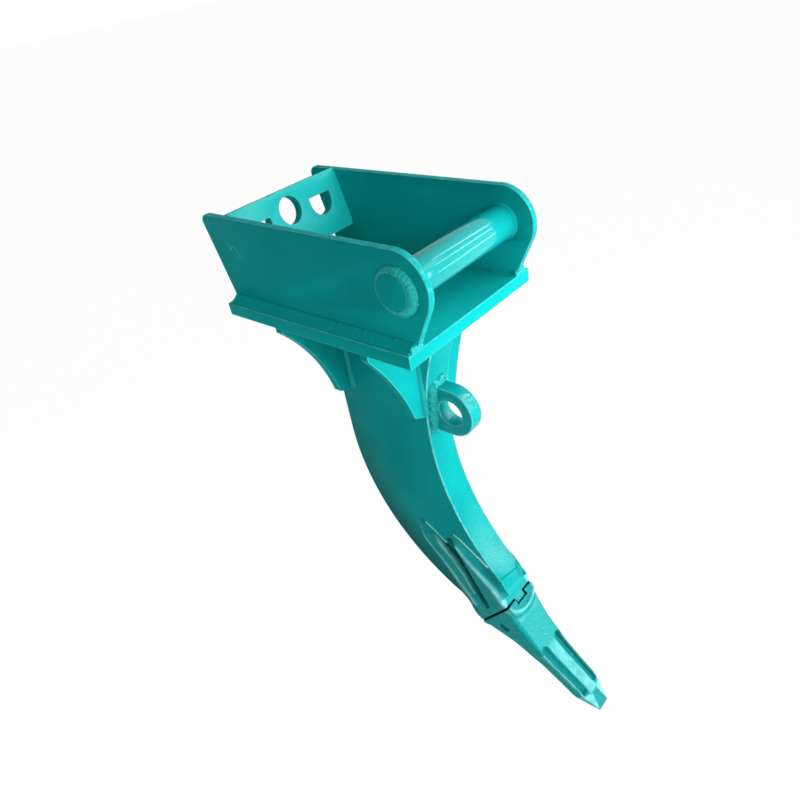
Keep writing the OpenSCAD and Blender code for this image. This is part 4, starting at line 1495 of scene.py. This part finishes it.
@dataclass
class Studio:
    """The floor, the light and the camera, which stands where the photograph was taken from."""

    floor_z: float = -0.838
    floor_half: float = 40.0
    right: tuple = (0.7481, 0.6442, -0.1591)
    up: tuple = (-0.2754, 0.5196, 0.8088)
    back: tuple = (0.6037, -0.5612, 0.5661)
    offset: tuple = (-71.75 * MM, -202.25 * MM, 860.66 * MM)
    focal_px: float = 666.12
    image_px: float = 800.0
    principal: tuple = (398.78, 408.52)
    target: tuple = (-0.05, 0.0, -0.35)
    ambient: float = 0.21
    strip_turns: tuple = (61.5, 29.5, -12.0)
    strip_far: float = 1.5

    def build(self) -> None:
        """Builds the floor, the world, the lamps and the camera."""
        self.floor()
        self.world()
        self.lamps()
        self.camera()

    def floor(self) -> None:
        """Lays the pale floor, which keeps the object's shadow."""
        work = bmesh.new()
        bmesh.ops.create_grid(work, x_segments=1, y_segments=1, size=self.floor_half)
        mesh = to_mesh(work, bpy.data.meshes.new("floor"))
        mesh.transform(Matrix.Translation((0, 0, self.floor_z)))
        mesh.materials.append(FLOOR.material())
        new_piece("floor", mesh)

    def world(self) -> None:
        """Sets the white background and the soft light that comes from all round."""
        world = bpy.data.worlds.new("studio")
        bpy.context.scene.world = world
        world.use_nodes = True
        world.node_tree.nodes.clear()
        sheet = Sheet(world.node_tree)
        strength = sheet.spread(seen(sheet), 0.0, 1.0, self.ambient, 1.0)
        glow = sheet.add("ShaderNodeBackground", {"Strength": strength, "Color": (*WHITE, 1.0)})
        sheet.add("ShaderNodeOutputWorld", {"Surface": glow.outputs[0]})

    def lamps(self) -> None:
        """Hangs the low front lamp, the side fill, and the small lamps that show in the gloss."""
        target = Vector(self.target)
        self.lamp("front_lamp", target + Vector((2.45, 0.4, 0.2)), target, (1.6, 1.6), 64.0, (0.95, 0.98, 1.0))
        self.lamp("sheen_lamp", Vector((1.15, 0.45, 0.95)), Vector((0.1, 0.0, -0.6)), (0.9, 0.9), 1.6, spread=80.0)
        self.lamp("side_fill", target + Vector((0.3, -2.5, 0.1)), target, (2.0, 2.0), 9.0, (1.0, 1.0, 0.96))
        for number, degrees in enumerate(self.strip_turns):
            turn = math.radians(degrees)
            place = Vector((self.strip_far * math.cos(turn), 1.5, self.strip_far * math.sin(turn)))
            self.lamp(f"strip_lamp_{number}", place, Vector((0.0, 0.0, 0.0)), (0.2, 1.1), 0.7, spread=60.0)
        self.lamp("lock_lamp", Vector((1.3, -0.05, 0.55)), Vector((-0.32, 0.05, 0.01)), (0.3, 0.3), 0.17, spread=20.0)

    @staticmethod
    def lamp(
        name: str, place: Vector, target: Vector, size: tuple[float, float], power: float, tint: tuple = WHITE,
        spread: float = 180.0,
    ) -> None:
        """Adds a rectangular lamp.

        Args:
            name: the lamp's name.
            place: where it hangs.
            target: what it points at.
            size: its width and its length, which lies along y where it can.
            power: its power in watts.
            tint: its colour.
            spread: how wide its beam is, in degrees.
        """
        data = bpy.data.lights.new(name, "AREA")
        data.shape, data.size, data.size_y = "RECTANGLE", *size
        data.energy, data.color, data.spread = power, tint, math.radians(spread)
        lamp = bpy.data.objects.new(name, data)
        back = (place - target).normalized()
        side = Vector((0, 1, 0)).cross(back)
        side = side.normalized() if side.length > 0.3 else AHEAD
        turn = Matrix((side, back.cross(side), back)).transposed()
        lamp.matrix_world = Matrix.Translation(place) @ turn.to_4x4()
        bpy.context.scene.collection.objects.link(lamp)

    def camera(self) -> None:
        """Sets the camera where the photograph was taken from."""
        data = bpy.data.cameras.new("camera")
        data.sensor_width = 36.0
        data.lens = self.focal_px / self.image_px * data.sensor_width
        data.shift_x = 0.5 - self.principal[0] / self.image_px
        data.shift_y = self.principal[1] / self.image_px - 0.5
        data.clip_start, data.clip_end = 0.01, 100.0
        camera = bpy.data.objects.new("camera", data)
        turn = Matrix([Vector(axis).normalized() for axis in (self.right, self.up, self.back)]).transposed()
        camera.matrix_world = Matrix.Translation(turn @ Vector(self.offset)) @ turn.to_4x4()
        bpy.context.scene.collection.objects.link(camera)
        bpy.context.scene.camera = camera


def main() -> None:
    """Builds the sub-assemblies in order, then the studio."""
    logging.basicConfig(level=logging.INFO, format="%(name)s %(message)s")
    bpy.context.scene.view_settings.view_transform = "Standard"
    Headstock().build()
    ShankFrame().build()
    Tooth().build()
    Studio().build()


if __name__ == "__main__":
    main()
